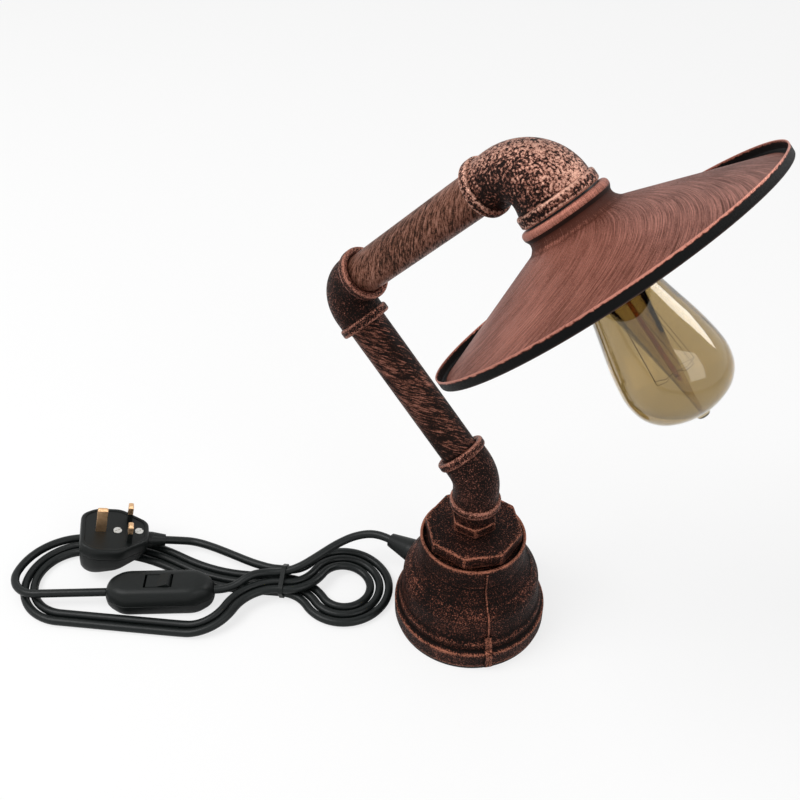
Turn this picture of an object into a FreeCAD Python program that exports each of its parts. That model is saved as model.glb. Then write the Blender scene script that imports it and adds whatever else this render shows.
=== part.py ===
import FreeCAD, Part
import math
import os
from FreeCAD import Vector

# Table lamp made of three-quarter inch pipe and malleable-iron fittings. It stands on a bell
# (a reducing socket, wide end down), zigzags up in two pipes and ends in a shallow shade.
# Millimetres, +Z up, origin at the middle of the foot on the surface that it stands on.
# The two pipes lie in the XZ plane: the lower leans to -X, the upper to +X.

# Pipe and thread
PIPE_R = 13.45
PIPE_BORE_R = 10.7
THREAD_R = 13.2
TURN_GAP = 0.05
SEAT_GAP = 0.3
THREAD_DEPTH = 11.0

# Base
PAD_INSET = 1.0
PAD_T = 2.0
FOOT_R = 58.0
FOOT_TOP = 16.0
SKIRT_R = 54.8
SKIRT_TOP = 27.0
SKIRT_EASE = 2.2
WAIST_R = 51.4
WAIST_TOP = 44.0
SHOULDER_R = 46.0
SHOULDER_TOP = 53.0
THROAT_R = 38.3
BAND_BOTTOM = 68.5
BAND_R = 39.1
BELL_TOP = 85.4
BELL_WALL = 5.0
MOUTH_R = 36.8
MOUTH_DEPTH = 4.9
BUSH_THREAD_R = 29.8
RIB_WIDTH = 1.6
RIB_PROUD = 1.3
LUG_WIDTH = 6.8
LUG_TOP = 30.0
RIB_AZIMUTH = -44.0

# Bush and nipple
BUSH_ACROSS_CORNERS = 72.4
BUSH_TURN = 21.0
BUSH_FLANGE_Z = 84.7
BUSH_TOP = 95.0
BUSH_PLUG_DEPTH = 17.0
HEX_ACROSS_FLATS = 30.0
HEX_BOTTOM = 97.0
HEX_TOP = 105.0
HEX_TURN = -55.5
NIPPLE_GRIP = 13.0

# Skeleton of the pipework
ELBOW_Z = 143.5
LOWER_RUN = 160.0
UPPER_RUN = 186.0
LOWER_LEAN = -45.0
UPPER_LEAN = 45.0

# Fittings
FITTING_R = 16.5
BAND_WIDTH = 6.0
FITTING_BAND_R = 18.4
MOUTH_BEVEL = 1.8
SLOW_LEG = 26.8
SLOW_UPPER_LEG = 22.0
SLOW_BEND = 26.0
SQUARE_LEG = 29.3
SQUARE_BEND = 18.0
HEAD_INLET = 38.5
HEAD_OUTLET = 31.2
HEAD_BEND = 24.0
HEAD_OUT_R = 22.6
HEAD_BAND_R = 24.7
HEAD_BAND_WIDTH = 7.2
HEAD_BORE_R = 20.8
HEAD_STEP = 20.0
HEAD_CHAMBER_R = 14.0
FACET_ANGLE = 15.0
BORE_FACET_ANGLE = 45.0

# Lampholder, measured down the shade's axis from the head elbow's centre
COLLAR_FLANGE_R = 22.4
COLLAR_BOTTOM = 34.5
HOLDER_R = 19.5
HOLDER_WALL = 1.3
HOLDER_BOTTOM = 60.0
INSERT_BOTTOM = 57.0
INSERT_FLOOR = 30.0
SCREW_SHELL_T = 0.6
FLEX_HOLE_R = 5.2
SHADE_RING_R = 24.0
SHADE_RING_T = 6.5

# Shade
SHADE_T = 1.0
SHADE_BEAD_R = 27.5
SHADE_NECK_R = 26.4
SHADE_NECK_BOTTOM = 42.0
FLARE_R = 36.0
FLARE_BOTTOM = 48.0
SHADE_R = 110.0
SHADE_RIM = 75.0
RIM_LIP = 5.6
RIM_FLAT = 3.0

# Bulb, same axis
CAP_R = 13.15
CAP_TOP = 31.5
CAP_BOTTOM = 57.5
GLASS_T = 0.9
BULB_R = 32.0
BULB_WIDEST = 144.5
BULB_TIP = 175.1
NECK_R = 15.5

# Cord grip on the back of the bell
GRIP_Z = 33.0
GRIP_ROOT_R = 9.3
GRIP_TIP_R = 5.6
GRIP_TIP_X = -74.0
GRIP_STUB_R = 5.5

# Cord
CORD_R = 3.3
FLEX_R = 2.8

# Hank frame: u runs over the floor from the tie towards the bell, v to its left
HANK_TIE = Vector(-128.6, -65.3, 0)
HANK_HEADING = 28.0
HANK_LOOPS = 3
HANK_STEP = 7.5
HANK_REST = 3.3
HANK_UNDER = 4.6
HANK_OVER = 12.0
LEAD_V = 3.4
LEAD_Z = 15.8
WAIST_U = -4.0
RIGHT_U = 45.0
RIGHT_V = 4.0
RIGHT_TURN_R = 20.0
LEFT_U = -172.0
LEFT_V = -14.5
LEFT_TURN_R = 32.5
UNDER_V = 7.5
OVER_V = -10.5
TAIL_V = 10.0
FRONT_U = -70.0
SWITCH_LIFT = 6.0

# In-line switch
SWITCH_U = -98.0
SWITCH_V = -23.0
SWITCH_HEADING = 8.13
SWITCH_L = 84.8
SWITCH_W = 30.0
SWITCH_END_W = 15.0
SWITCH_H = 24.0
SWITCH_END_DROP = 4.0
SWITCH_SPLIT = 11.0
SWITCH_AXIS_Z = 12.0
SWITCH_WALL = 2.0
SWITCH_SCREW_X = 25.0
ROCKER_L = 21.0
ROCKER_W = 12.0
ROCKER_GAP = 0.4
ROCKER_SWING = 18.0
ROCKER_PIVOT_Z = 19.0
ROCKER_PIN_R = 1.5

# Plug: its pin face is the local XY plane, pins along +Z, cord leaving along +X
PLUG_U = -145.0
PLUG_V = 18.0
PLUG_Z = 33.4
PLUG_HEADING = 18.0
PLUG_TILT = 15.0
PLUG_L = 54.0
PLUG_W = 50.0
PLUG_TOP_W = 36.0
PLUG_END_W = 22.0
PLUG_PLATE_T = 10.0
PLUG_DEEP = 31.0
PLUG_SHALLOW = 20.0
PLUG_TOP_TAPER = 12.0
PLUG_END_TAPER = 22.0
PLUG_WALL = 5.0
PIN_SPREAD = 22.2
EARTH_LENGTH = 22.7
PIN_LENGTH = 17.7
PIN_W = 6.35
PIN_T = 4.0
EARTH_W = 8.0
SLEEVE_LENGTH = 9.5
SLEEVE_T = 0.6
PIN_INSIDE = 13.0
PLUG_BOOT_L = 14.0
CORD_DROP = 10.0

os.makedirs("parts", exist_ok=True)
LOWER_DIR = Vector(math.sin(math.radians(LOWER_LEAN)), 0, math.cos(math.radians(LOWER_LEAN)))
UPPER_DIR = Vector(math.sin(math.radians(UPPER_LEAN)), 0, math.cos(math.radians(UPPER_LEAN)))
SHADE_LEAN = UPPER_LEAN + 90.0
SHADE_DIR = Vector(math.sin(math.radians(SHADE_LEAN)), 0, math.cos(math.radians(SHADE_LEAN)))
UP = Vector(0, 0, 1)
E1 = Vector(0, 0, ELBOW_Z)
E2 = E1 + LOWER_DIR * LOWER_RUN
E3 = E2 + UPPER_DIR * UPPER_RUN
BORE_R = THREAD_R + TURN_GAP


# Shared ways of making shapes

def save(name, *solids):
    """Write one node: a single solid, or several that stand for like pieces."""
    shape = solids[0] if len(solids) == 1 else Part.makeCompound(list(solids))
    for solid in shape.Solids:
        if not solid.isValid():
            print("not valid:", name)
    print(name, len(shape.Solids), round(shape.Volume, 1))
    shape.exportStep("parts/" + name + ".step")
    return shape


def leaning(origin, lean):
    """A place whose local +Z leans from vertical towards +X by this many degrees."""
    return FreeCAD.Placement(origin, FreeCAD.Rotation(Vector(0, 1, 0), lean))


def put(shape, place):
    """The shape moved from local coordinates to its place."""
    moved = shape.copy()
    moved.Placement = place.multiply(moved.Placement)
    return moved


def outline(start, *moves):
    """A closed wire in the XZ plane. A move (r, z) is a straight line to that point, and a move
    ((r, z), (r, z)) is an arc through the first point to the second."""
    here = Vector(start[0], 0, start[1])
    first = here
    edges = []
    for move in moves:
        if isinstance(move[0], tuple):
            through = Vector(move[0][0], 0, move[0][1])
            there = Vector(move[1][0], 0, move[1][1])
            edges.append(Part.Arc(here, through, there).toShape())
        else:
            there = Vector(move[0], 0, move[1])
            edges.append(Part.LineSegment(here, there).toShape())
        here = there
    if (here - first).Length > 1e-6:
        edges.append(Part.LineSegment(here, first).toShape())
    return Part.Wire(edges)


def turned(start, *moves):
    """A solid of revolution about local Z from an outline in radius and height."""
    return Part.Face(outline(start, *moves)).revolve(Vector(), UP, 360)


def rod(radius, low, high):
    return Part.makeCylinder(radius, high - low, Vector(0, 0, low))


def ring(outer, inner, low, high):
    return rod(outer, low, high).cut(rod(inner, low, high))


def cross_rod(radius, half_length, height):
    """A rod along local Y, centred over the origin at this height."""
    return Part.makeCylinder(radius, 2 * half_length, Vector(0, -half_length, height), Vector(0, 1, 0))


def block(low, high):
    """A box between two corners."""
    size = Vector(*high) - Vector(*low)
    return Part.makeBox(size.x, size.y, size.z, Vector(*low))


def prism(across_corners, sides, low, high, turn):
    """A regular prism about local Z, with one corner at the angle turn."""
    corners = []
    for i in range(sides + 1):
        angle = math.radians(turn + 360.0 * i / sides)
        radius = across_corners / 2
        corners.append(Vector(radius * math.cos(angle), radius * math.sin(angle), low))
    return Part.Face(Part.makePolygon(corners)).extrude(Vector(0, 0, high - low))


def corner_arc(before, corner, after):
    """The arc that touches two runs of equal length which meet at a corner."""
    middle = (before + after) * 0.5
    half_turn = math.acos(min(1.0, (corner - before).normalize().dot((after - corner).normalize()))) / 2
    reach = (corner - before).Length
    radius = reach / math.tan(half_turn)
    sagitta = radius * (1 - math.cos(half_turn))
    through = middle + (corner - middle).normalize() * sagitta
    return Part.Arc(before, through, after).toShape(), radius


def eased_route(points, label):
    """Straight runs joined by tangent arcs: each arc takes 0.45 of its shorter run."""
    edges = []
    here = points[0]
    radii = []
    for before, corner, after in zip(points, points[1:], points[2:]):
        reach = 0.45 * min((corner - before).Length, (after - corner).Length)
        start = corner + (before - corner).normalize() * reach
        end = corner + (after - corner).normalize() * reach
        arc, radius = corner_arc(start, corner, end)
        radii.append(round(radius, 1))
        edges.append(Part.LineSegment(here, start).toShape())
        edges.append(arc)
        here = end
    edges.append(Part.LineSegment(here, points[-1]).toShape())
    print(label, "radii", radii)
    return Part.Wire(edges)


def biarc(start, start_way, end, end_way):
    """Two arcs that leave one point along one direction and reach another along another."""
    span = end - start
    ways = start_way + end_way
    bend = 2 * (1 - start_way.dot(end_way))
    along = span.dot(ways)
    if bend < 1e-9:
        reach = span.dot(span) / (2 * along)
    else:
        reach = (math.sqrt(along * along + bend * span.dot(span)) - along) / bend
    first = start + start_way * reach
    second = end - end_way * reach
    middle = (first + second) * 0.5
    arcs = []
    for before, corner, after in ((start, first, middle), (middle, second, end)):
        turn = (corner - before).normalize().dot((after - corner).normalize())
        if turn > 1 - 1e-10:
            arcs.append(Part.LineSegment(before, after).toShape())
        else:
            arcs.append(corner_arc(before, corner, after)[0])
    return arcs


def tube(path, radius, sides, label):
    """A cord along a path, with a section of this many sides, or round where sides is 0."""
    start = path.OrderedVertexes[0].Point
    way = path.OrderedEdges[0].tangentAt(path.OrderedEdges[0].FirstParameter)
    if (path.OrderedEdges[0].valueAt(path.OrderedEdges[0].FirstParameter) - start).Length > 1e-6:
        way = path.OrderedEdges[0].tangentAt(path.OrderedEdges[0].LastParameter) * -1
    if sides:
        level = UP if abs(way.z) < 0.99 else Vector(1, 0, 0)
        side = way.cross(level).normalize()
        rise = side.cross(way).normalize()
        corners = []
        for i in range(sides + 1):
            angle = 2 * math.pi * (i + 0.5) / sides
            corners.append(start + side * (radius * math.cos(angle)) + rise * (radius * math.sin(angle)))
        section = Part.makePolygon(corners)
        area = 0.5 * sides * radius * radius * math.sin(2 * math.pi / sides)
    else:
        section = Part.Wire(Part.makeCircle(radius, start, way))
        area = math.pi * radius * radius
    solid = path.makePipeShell([section], True, False)
    share = solid.Volume / (area * path.Length)
    print(label, "length", round(path.Length, 1), "volume share", round(share, 4))
    return solid


def on_floor(u, v, z):
    """A point of the hank's frame in the lamp's own coordinates."""
    heading = math.radians(HANK_HEADING)
    along = Vector(math.cos(heading), math.sin(heading), 0)
    aside = Vector(-math.sin(heading), math.cos(heading), 0)
    return HANK_TIE + along * u + aside * v + UP * z


def way_on_floor(heading, climb=0.0):
    """A direction of the hank's frame, climbing by this share of its length."""
    turn = math.radians(HANK_HEADING + heading)
    return Vector(math.cos(turn), math.sin(turn), climb).normalize()


# Base: pad, bell, bush and nipple

def bell_outline(extra):
    """The bell's outside as moves up from its foot, grown by extra."""
    return [
        (FOOT_R + extra, FOOT_TOP),
        (SKIRT_R + extra, FOOT_TOP + 1.5),
        (SKIRT_R + extra, SKIRT_TOP - 3.0),
        (SKIRT_R - SKIRT_EASE + extra, SKIRT_TOP),
        (WAIST_R + extra, WAIST_TOP),
        (WAIST_R - 1.6 + extra, WAIST_TOP + 4.6),
        (SHOULDER_R + extra, SHOULDER_TOP),
        (SHOULDER_R - 2.0 + extra, SHOULDER_TOP + 1.2),
        (THROAT_R + 1.8 + extra, SHOULDER_TOP + 7.5),
        (THROAT_R + extra, BAND_BOTTOM - 1.0),
        (BAND_R + extra, BAND_BOTTOM),
        (BAND_R + extra, BELL_TOP),
    ]


def base_bell():
    outside = turned((0, PAD_T), (FOOT_R, PAD_T), *bell_outline(0), (0, BELL_TOP))
    for azimuth in (RIB_AZIMUTH, RIB_AZIMUTH + 180):
        rib = block((0, -RIB_WIDTH / 2, PAD_T), (FOOT_R + RIB_PROUD, RIB_WIDTH / 2, BELL_TOP - 1.0))
        lug = block((0, -LUG_WIDTH / 2, PAD_T), (FOOT_R + RIB_PROUD, LUG_WIDTH / 2, LUG_TOP))
        rib = rib.fuse(lug)
        rib.rotate(Vector(), UP, azimuth)
        skin = turned((0, PAD_T), (FOOT_R + RIB_PROUD, PAD_T), *bell_outline(RIB_PROUD), (0, BELL_TOP))
        outside = outside.fuse(rib.common(skin))
    hollow = turned(
        (0, PAD_T), (FOOT_R - BELL_WALL, PAD_T), (SKIRT_R - BELL_WALL, SKIRT_TOP),
        (WAIST_R - BELL_WALL, WAIST_TOP), (SHOULDER_R - BELL_WALL - 2.0, SHOULDER_TOP),
        (BUSH_THREAD_R, BAND_BOTTOM - 6.0), (BUSH_THREAD_R, BELL_TOP - MOUTH_DEPTH),
        (MOUTH_R, BELL_TOP - MOUTH_DEPTH), (MOUTH_R, BELL_TOP), (0, BELL_TOP))
    hole = put(rod(GRIP_STUB_R + TURN_GAP, 0, FOOT_R), leaning(Vector(0, 0, GRIP_Z), -90))
    return outside.cut(hollow).cut(hole).removeSplitter()


def octagon_bush():
    head = prism(BUSH_ACROSS_CORNERS, 8, BUSH_FLANGE_Z, BUSH_TOP, BUSH_TURN)
    bevel = 1.2
    corner_r = BUSH_ACROSS_CORNERS / 2
    softened = turned(
        (0, BUSH_FLANGE_Z), (corner_r - bevel, BUSH_FLANGE_Z), (corner_r + bevel, BUSH_FLANGE_Z + 2 * bevel),
        (corner_r + bevel, BUSH_TOP - 2 * bevel), (corner_r - bevel, BUSH_TOP), (0, BUSH_TOP))
    plug = rod(BUSH_THREAD_R - TURN_GAP, BUSH_FLANGE_Z - BUSH_PLUG_DEPTH, BUSH_FLANGE_Z)
    bore = rod(BORE_R, BUSH_FLANGE_Z - BUSH_PLUG_DEPTH, BUSH_TOP)
    return head.common(softened).fuse(plug).cut(bore).removeSplitter()


def hex_nipple():
    across_corners = HEX_ACROSS_FLATS / math.cos(math.radians(30))
    bevel = 1.0
    corner_r = across_corners / 2
    collar = prism(across_corners, 6, HEX_BOTTOM, HEX_TOP, HEX_TURN)
    softened = turned((0, HEX_BOTTOM), (corner_r - bevel, HEX_BOTTOM), (corner_r, HEX_BOTTOM + bevel),
                      (corner_r, HEX_TOP - bevel), (corner_r - bevel, HEX_TOP), (0, HEX_TOP))
    top = ELBOW_Z - SLOW_LEG + NIPPLE_GRIP
    thread = rod(THREAD_R, BUSH_TOP - NIPPLE_GRIP, top)
    bore = rod(PIPE_BORE_R, BUSH_TOP - NIPPLE_GRIP, top)
    return collar.common(softened).fuse(thread).cut(bore).removeSplitter()


# Fittings

def band(radius, low, high):
    """A fitting's raised end band, with both edges broken."""
    bevel = 0.9
    return turned((0, low), (radius - bevel, low), (radius, low + bevel),
                  (radius, high - bevel), (radius - bevel, high), (0, high))


def bent_body(start_r, end_r, bend, turn, facet):
    """A bend about local Y: it starts at the origin along +Z and turns towards +X, in straight
    mitred pieces whose radius grows steadily from start_r to end_r."""
    steps = math.ceil(turn / facet)
    half = math.radians(turn / steps / 2)
    corners = [Vector()]
    for i in range(steps):
        angle = math.radians(turn * (i + 0.5) / steps)
        reach = bend / math.cos(half)
        corners.append(Vector(bend - reach * math.cos(angle), 0, reach * math.sin(angle)))
    end = math.radians(turn)
    corners.append(Vector(bend * (1 - math.cos(end)), 0, bend * math.sin(end)))
    pieces = []
    for i, (low, high) in enumerate(zip(corners, corners[1:])):
        way = (high - low).normalize()
        share = i / len(corners[1:-1])
        radius = start_r + (end_r - start_r) * share
        run = (high - low).Length
        near = 0 if i == 0 else radius * math.tan(half)
        far = 0 if i == steps else radius * math.tan(half)
        piece = Part.makeCylinder(radius, run + near + far, low - way * near, way)
        reach = 4 * (bend + radius)
        for corner, side in ((low, 1), (high, -1)):
            place = corners.index(corner)
            if place in (0, len(corners) - 1):
                continue
            angle = math.radians(turn * (place - 0.5) / steps)
            normal = Vector(math.sin(angle), 0, math.cos(angle)) * side
            half_space = Part.makeBox(reach, reach, reach, Vector(-reach / 2, -reach / 2, 0))
            half_space.Placement = FreeCAD.Placement(corner, FreeCAD.Rotation(UP, normal))
            piece = piece.common(half_space)
        pieces.append(piece)
    whole = pieces[0]
    for piece in pieces[1:]:
        whole = whole.fuse(piece)
    return whole


def mouth(outer_r, bore_r, face, depth):
    """The threaded hole of an end whose face is at this height, with a bevelled mouth."""
    return turned((0, face - depth), (bore_r, face - depth), (bore_r, face - MOUTH_BEVEL),
                  (bore_r + MOUTH_BEVEL, face), (0, face))


def elbow(corner, in_lean, out_lean, in_leg, out_leg, bend):
    """An equal elbow about a corner: legs back along one direction and out along the other."""
    turn = abs(out_lean - in_lean)
    tangent = bend * math.tan(math.radians(turn / 2))
    back = leaning(corner, in_lean + 180)
    onward = leaning(corner, out_lean)
    start = leaning(corner, in_lean)
    bent = bent_body(FITTING_R, FITTING_R, bend, turn, FACET_ANGLE)
    passage = bent_body(PIPE_BORE_R, PIPE_BORE_R, bend, turn, BORE_FACET_ANGLE)
    for shape in (bent, passage):
        shape.translate(Vector(0, 0, -tangent))
        if out_lean < in_lean:
            shape.rotate(Vector(), UP, 180)
    body = put(bent, start)
    for place, leg in ((back, in_leg), (onward, out_leg)):
        body = body.fuse(put(rod(FITTING_R, tangent, leg - BAND_WIDTH), place))
        body = body.fuse(put(band(FITTING_BAND_R, leg - BAND_WIDTH, leg), place))
    for place, leg in ((back, in_leg), (onward, out_leg)):
        depth = min(THREAD_DEPTH, leg - tangent)
        body = body.cut(put(mouth(FITTING_BAND_R, BORE_R, leg, depth), place))
        body = body.cut(put(rod(PIPE_BORE_R, tangent, leg), place))
    return body.cut(put(passage, start)).removeSplitter()


def slow_elbow():
    body = elbow(E1, 0, LOWER_LEAN, SLOW_LEG, SLOW_UPPER_LEG, SLOW_BEND)
    deeper = mouth(FITTING_BAND_R, BORE_R, SLOW_LEG, NIPPLE_GRIP + SEAT_GAP)
    return body.cut(put(deeper, leaning(E1, 180)))


def pipe(corner, lean, run, start_leg, start_grip, end_leg, end_grip):
    """A pipe between two fittings, with its threads inside them."""
    low = start_leg - start_grip
    high = run - end_leg + end_grip
    bare_low = start_leg + SEAT_GAP
    bare_high = run - end_leg - SEAT_GAP
    solid = rod(PIPE_R, bare_low, bare_high).fuse(rod(THREAD_R, low, high)).cut(rod(PIPE_BORE_R, low, high))
    return put(solid.removeSplitter(), leaning(corner, lean))


def reducing_elbow():
    """The head: a quarter bend that grows from pipe size to lampholder size."""
    bent = bent_body(FITTING_R, HEAD_OUT_R, HEAD_BEND, 90, FACET_ANGLE)
    bent.translate(Vector(0, 0, -HEAD_BEND))
    passage = bent_body(PIPE_BORE_R, HEAD_CHAMBER_R, HEAD_BEND, 90, BORE_FACET_ANGLE)
    passage.translate(Vector(0, 0, -HEAD_BEND))
    inlet = leaning(E3, UPPER_LEAN + 180)
    outlet = leaning(E3, SHADE_LEAN)
    body = put(bent, leaning(E3, UPPER_LEAN))
    body = body.fuse(put(rod(FITTING_R, HEAD_BEND, HEAD_INLET - BAND_WIDTH), inlet))
    body = body.fuse(put(band(FITTING_BAND_R, HEAD_INLET - BAND_WIDTH, HEAD_INLET), inlet))
    body = body.fuse(put(band(HEAD_BAND_R, HEAD_OUTLET - HEAD_BAND_WIDTH, HEAD_OUTLET), outlet))
    body = body.cut(put(mouth(FITTING_BAND_R, BORE_R, HEAD_INLET, THREAD_DEPTH + SEAT_GAP), inlet))
    body = body.cut(put(rod(PIPE_BORE_R, HEAD_BEND, HEAD_INLET), inlet))
    body = body.cut(put(passage, leaning(E3, UPPER_LEAN)))
    body = body.cut(put(rod(HEAD_BORE_R, HEAD_STEP, HEAD_OUTLET), outlet))
    return body.removeSplitter()


# Lampholder and shade, each made down the shade's axis

def holder_parts():
    collar = ring(HEAD_BORE_R - TURN_GAP, HOLDER_R + TURN_GAP, HEAD_STEP, HEAD_OUTLET)
    collar = collar.fuse(ring(COLLAR_FLANGE_R, HOLDER_R + TURN_GAP, HEAD_OUTLET, COLLAR_BOTTOM))
    shell = rod(HOLDER_R, HEAD_STEP, HOLDER_BOTTOM)
    shell = shell.cut(rod(HOLDER_R - HOLDER_WALL, HEAD_STEP + HOLDER_WALL, HOLDER_BOTTOM))
    shell = shell.cut(rod(FLEX_HOLE_R, HEAD_STEP, HOLDER_BOTTOM))
    insert_r = HOLDER_R - HOLDER_WALL - TURN_GAP
    screw_r = CAP_R + 2 * TURN_GAP
    screw_outer_r = screw_r + SCREW_SHELL_T
    insert = rod(insert_r, HEAD_STEP + HOLDER_WALL, INSERT_BOTTOM)
    insert = insert.cut(rod(screw_outer_r + TURN_GAP, INSERT_FLOOR, INSERT_BOTTOM))
    insert = insert.cut(rod(FLEX_R + SEAT_GAP, HEAD_STEP, INSERT_FLOOR - 4.0))
    screw_shell = ring(screw_outer_r, screw_r, INSERT_FLOOR, INSERT_BOTTOM)
    contact = rod(3.4, INSERT_FLOOR, CAP_TOP - SEAT_GAP)
    flange_top = COLLAR_BOTTOM + SHADE_T
    shade_ring = ring(HOLDER_R + 2.4, HOLDER_R + TURN_GAP, flange_top, flange_top + SHADE_RING_T)
    shade_ring = shade_ring.fuse(ring(SHADE_RING_R, HOLDER_R + TURN_GAP, flange_top, flange_top + 1.8))
    place = leaning(E3, SHADE_LEAN)
    save("holder_collar", put(collar.removeSplitter(), place))
    save("holder_shell", put(shell, place))
    save("holder_insert", put(insert, place))
    save("screw_shell", put(screw_shell, place))
    save("centre_contact", put(contact, place))
    save("shade_ring", put(shade_ring.removeSplitter(), place))


def shade():
    """One spun sheet: clamped disc, bead, short neck, flare, cone, rim flat and turned-up lip."""
    top = COLLAR_BOTTOM
    slope = (SHADE_RIM - FLARE_BOTTOM) / (SHADE_R - RIM_FLAT - FLARE_R)
    drop = SHADE_T * math.sqrt(1 + slope * slope)
    neck_mid = (SHADE_NECK_BOTTOM + FLARE_BOTTOM) / 2
    sheet = turned(
        (HOLDER_R + TURN_GAP, top), (SHADE_NECK_R - 0.8, top),
        (SHADE_BEAD_R, top + 1.3), (SHADE_BEAD_R, top + 2.6), (SHADE_NECK_R - 0.5, top + 3.8),
        (SHADE_NECK_R, SHADE_NECK_BOTTOM),
        (SHADE_NECK_R + 3.4, neck_mid + 0.9), (FLARE_R, FLARE_BOTTOM),
        (SHADE_R - RIM_FLAT, SHADE_RIM), (SHADE_R - 0.2, SHADE_RIM), (SHADE_R, SHADE_RIM - RIM_LIP),
        (SHADE_R + 0.8, SHADE_RIM - RIM_LIP), (SHADE_R + 0.8, SHADE_RIM + SHADE_T),
        (SHADE_R - RIM_FLAT - SHADE_T * 0.3, SHADE_RIM + SHADE_T),
        (FLARE_R - SHADE_T * 0.3, FLARE_BOTTOM + drop),
        (SHADE_NECK_R - SHADE_T, SHADE_NECK_BOTTOM + SHADE_T),
        (SHADE_NECK_R - 0.5 - SHADE_T, top + 3.8), (SHADE_NECK_R - 0.5 - SHADE_T, top + SHADE_T),
        (HOLDER_R + TURN_GAP, top + SHADE_T))
    return put(sheet, leaning(E3, SHADE_LEAN))


# Bulb

def bulb_parts():
    place = leaning(E3, SHADE_LEAN)
    pip_top = BULB_TIP - 4.6
    swell_r = BULB_R - 3.0
    crown_r = BULB_R - 12.0
    flank = [
        (NECK_R, CAP_BOTTOM), (NECK_R + 1.6, CAP_BOTTOM + 9.0), (NECK_R + 7.0, BULB_WIDEST - 46.5),
        (swell_r, BULB_WIDEST - 20.5),
    ]
    outer = flank + [
        (BULB_R, BULB_WIDEST), (swell_r, BULB_WIDEST + 12.5), (crown_r, pip_top - 4.5), (6.0, pip_top),
        (3.2, BULB_TIP - 1.8), (0, BULB_TIP),
    ]
    inner = [(r - GLASS_T, z) for r, z in flank] + [
        (BULB_R - 0.3 - GLASS_T, BULB_WIDEST), (swell_r - 1.0, BULB_WIDEST + 11.9),
        (crown_r - 4.0, pip_top - 4.1), (0, pip_top - 1.6),
    ]
    glass = turned((0, CAP_BOTTOM), *outer).cut(turned((0, CAP_BOTTOM), *inner))
    save("bulb_glass", put(glass, place))

    stem_top = 84.0
    hub = 146.0
    stem = turned((0, CAP_BOTTOM), (NECK_R - GLASS_T - SEAT_GAP, CAP_BOTTOM), (6.5, CAP_BOTTOM + 6.0),
                  (3.2, stem_top), (1.0, stem_top + 3.0), (1.0, hub), (0, hub))
    save("bulb_stem", put(stem, place))

    wires = []
    legs = []
    spokes = 6
    top_r = 6.5
    low_r = 12.5
    wire_r = 0.3
    for i in range(spokes):
        angle = 2 * math.pi * i / spokes
        out = Vector(math.cos(angle), math.sin(angle), 0)
        for level, root, reach in ((stem_top + 2.0, 2.0, top_r), (hub - 1.5, 1.3, low_r)):
            wires.append(Part.makeCylinder(wire_r, reach - root, out * root + UP * level, out))
        half = math.pi / spokes
        side = Vector(math.cos(angle + half * 2), math.sin(angle + half * 2), 0)
        start = out * (top_r + 0.6) + UP * (stem_top + 2.0)
        end = out * (low_r + 0.6) + UP * (hub - 1.5)
        legs.append(Part.makeCylinder(wire_r * 0.7, (end - start).Length, start, end - start))
        if i % 2:
            across = side * (low_r + 0.6) + UP * (hub - 1.5) - end
            begin = end
        else:
            across = side * (top_r + 0.6) + UP * (stem_top + 2.0) - start
            begin = start
        length = across.Length - 1.0
        across.normalize()
        legs.append(Part.makeCylinder(wire_r * 0.7, length, begin + across * 0.5, across))
    save("filament_supports", put(Part.makeCompound(wires), place))
    save("filament", put(Part.makeCompound(legs), place))

    skirt = CAP_BOTTOM - 0.2
    cap = turned((0, CAP_TOP + 4.0), (6.0, CAP_TOP + 4.0), (CAP_R - 1.2, CAP_TOP + 7.0),
                 (CAP_R, CAP_TOP + 8.0), (CAP_R, skirt), (0, skirt))
    hollow = turned((0, CAP_TOP + 6.0), (5.0, CAP_TOP + 6.0), (CAP_R - 1.6, CAP_TOP + 9.0),
                    (CAP_R - 1.0, skirt), (0, skirt))
    save("bulb_cap", put(cap.cut(hollow), place))
    insulator = turned((0, CAP_TOP + 0.8), (4.6, CAP_TOP + 0.8), (6.0, CAP_TOP + 4.0), (0, CAP_TOP + 4.0))
    save("cap_insulator", put(insulator, place))
    save("cap_contact", put(rod(3.6, CAP_TOP, CAP_TOP + 0.8), place))


# Cord grip and the flex inside the lamp

def grip_parts():
    place = leaning(Vector(0, 0, GRIP_Z), -90)
    tip = -GRIP_TIP_X
    climb = (GRIP_Z - SKIRT_TOP) / (WAIST_TOP - SKIRT_TOP)
    wall_r = (SKIRT_R - SKIRT_EASE) * (1 - climb) + WAIST_R * climb
    root = wall_r - 2.2
    body = turned((0, root), (GRIP_ROOT_R, root), (GRIP_ROOT_R, wall_r + 3.2), (GRIP_TIP_R, tip), (0, tip))
    bell = turned((0, PAD_T), (FOOT_R, PAD_T), *bell_outline(SEAT_GAP / 3), (0, BELL_TOP))
    body = put(body, place).cut(bell)
    inside = WAIST_R - BELL_WALL - 8.0
    stub = put(rod(GRIP_STUB_R, inside, root + 5.0), place)
    body = max(body.Solids, key=lambda solid: solid.Volume)
    hole = put(rod(CORD_R + SEAT_GAP, inside, root), place)
    save("cord_grip", body.fuse(stub).cut(hole).removeSplitter())
    nut_r = GRIP_STUB_R + 4.0
    nut_face = math.sqrt((min(SKIRT_R, WAIST_R) - BELL_WALL) ** 2 - nut_r ** 2)
    nut = prism(2 * nut_r, 6, nut_face - 4.5, nut_face - 0.5, 0).cut(rod(GRIP_STUB_R + TURN_GAP, 0, tip))
    save("grip_nut", put(nut, place))


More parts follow.
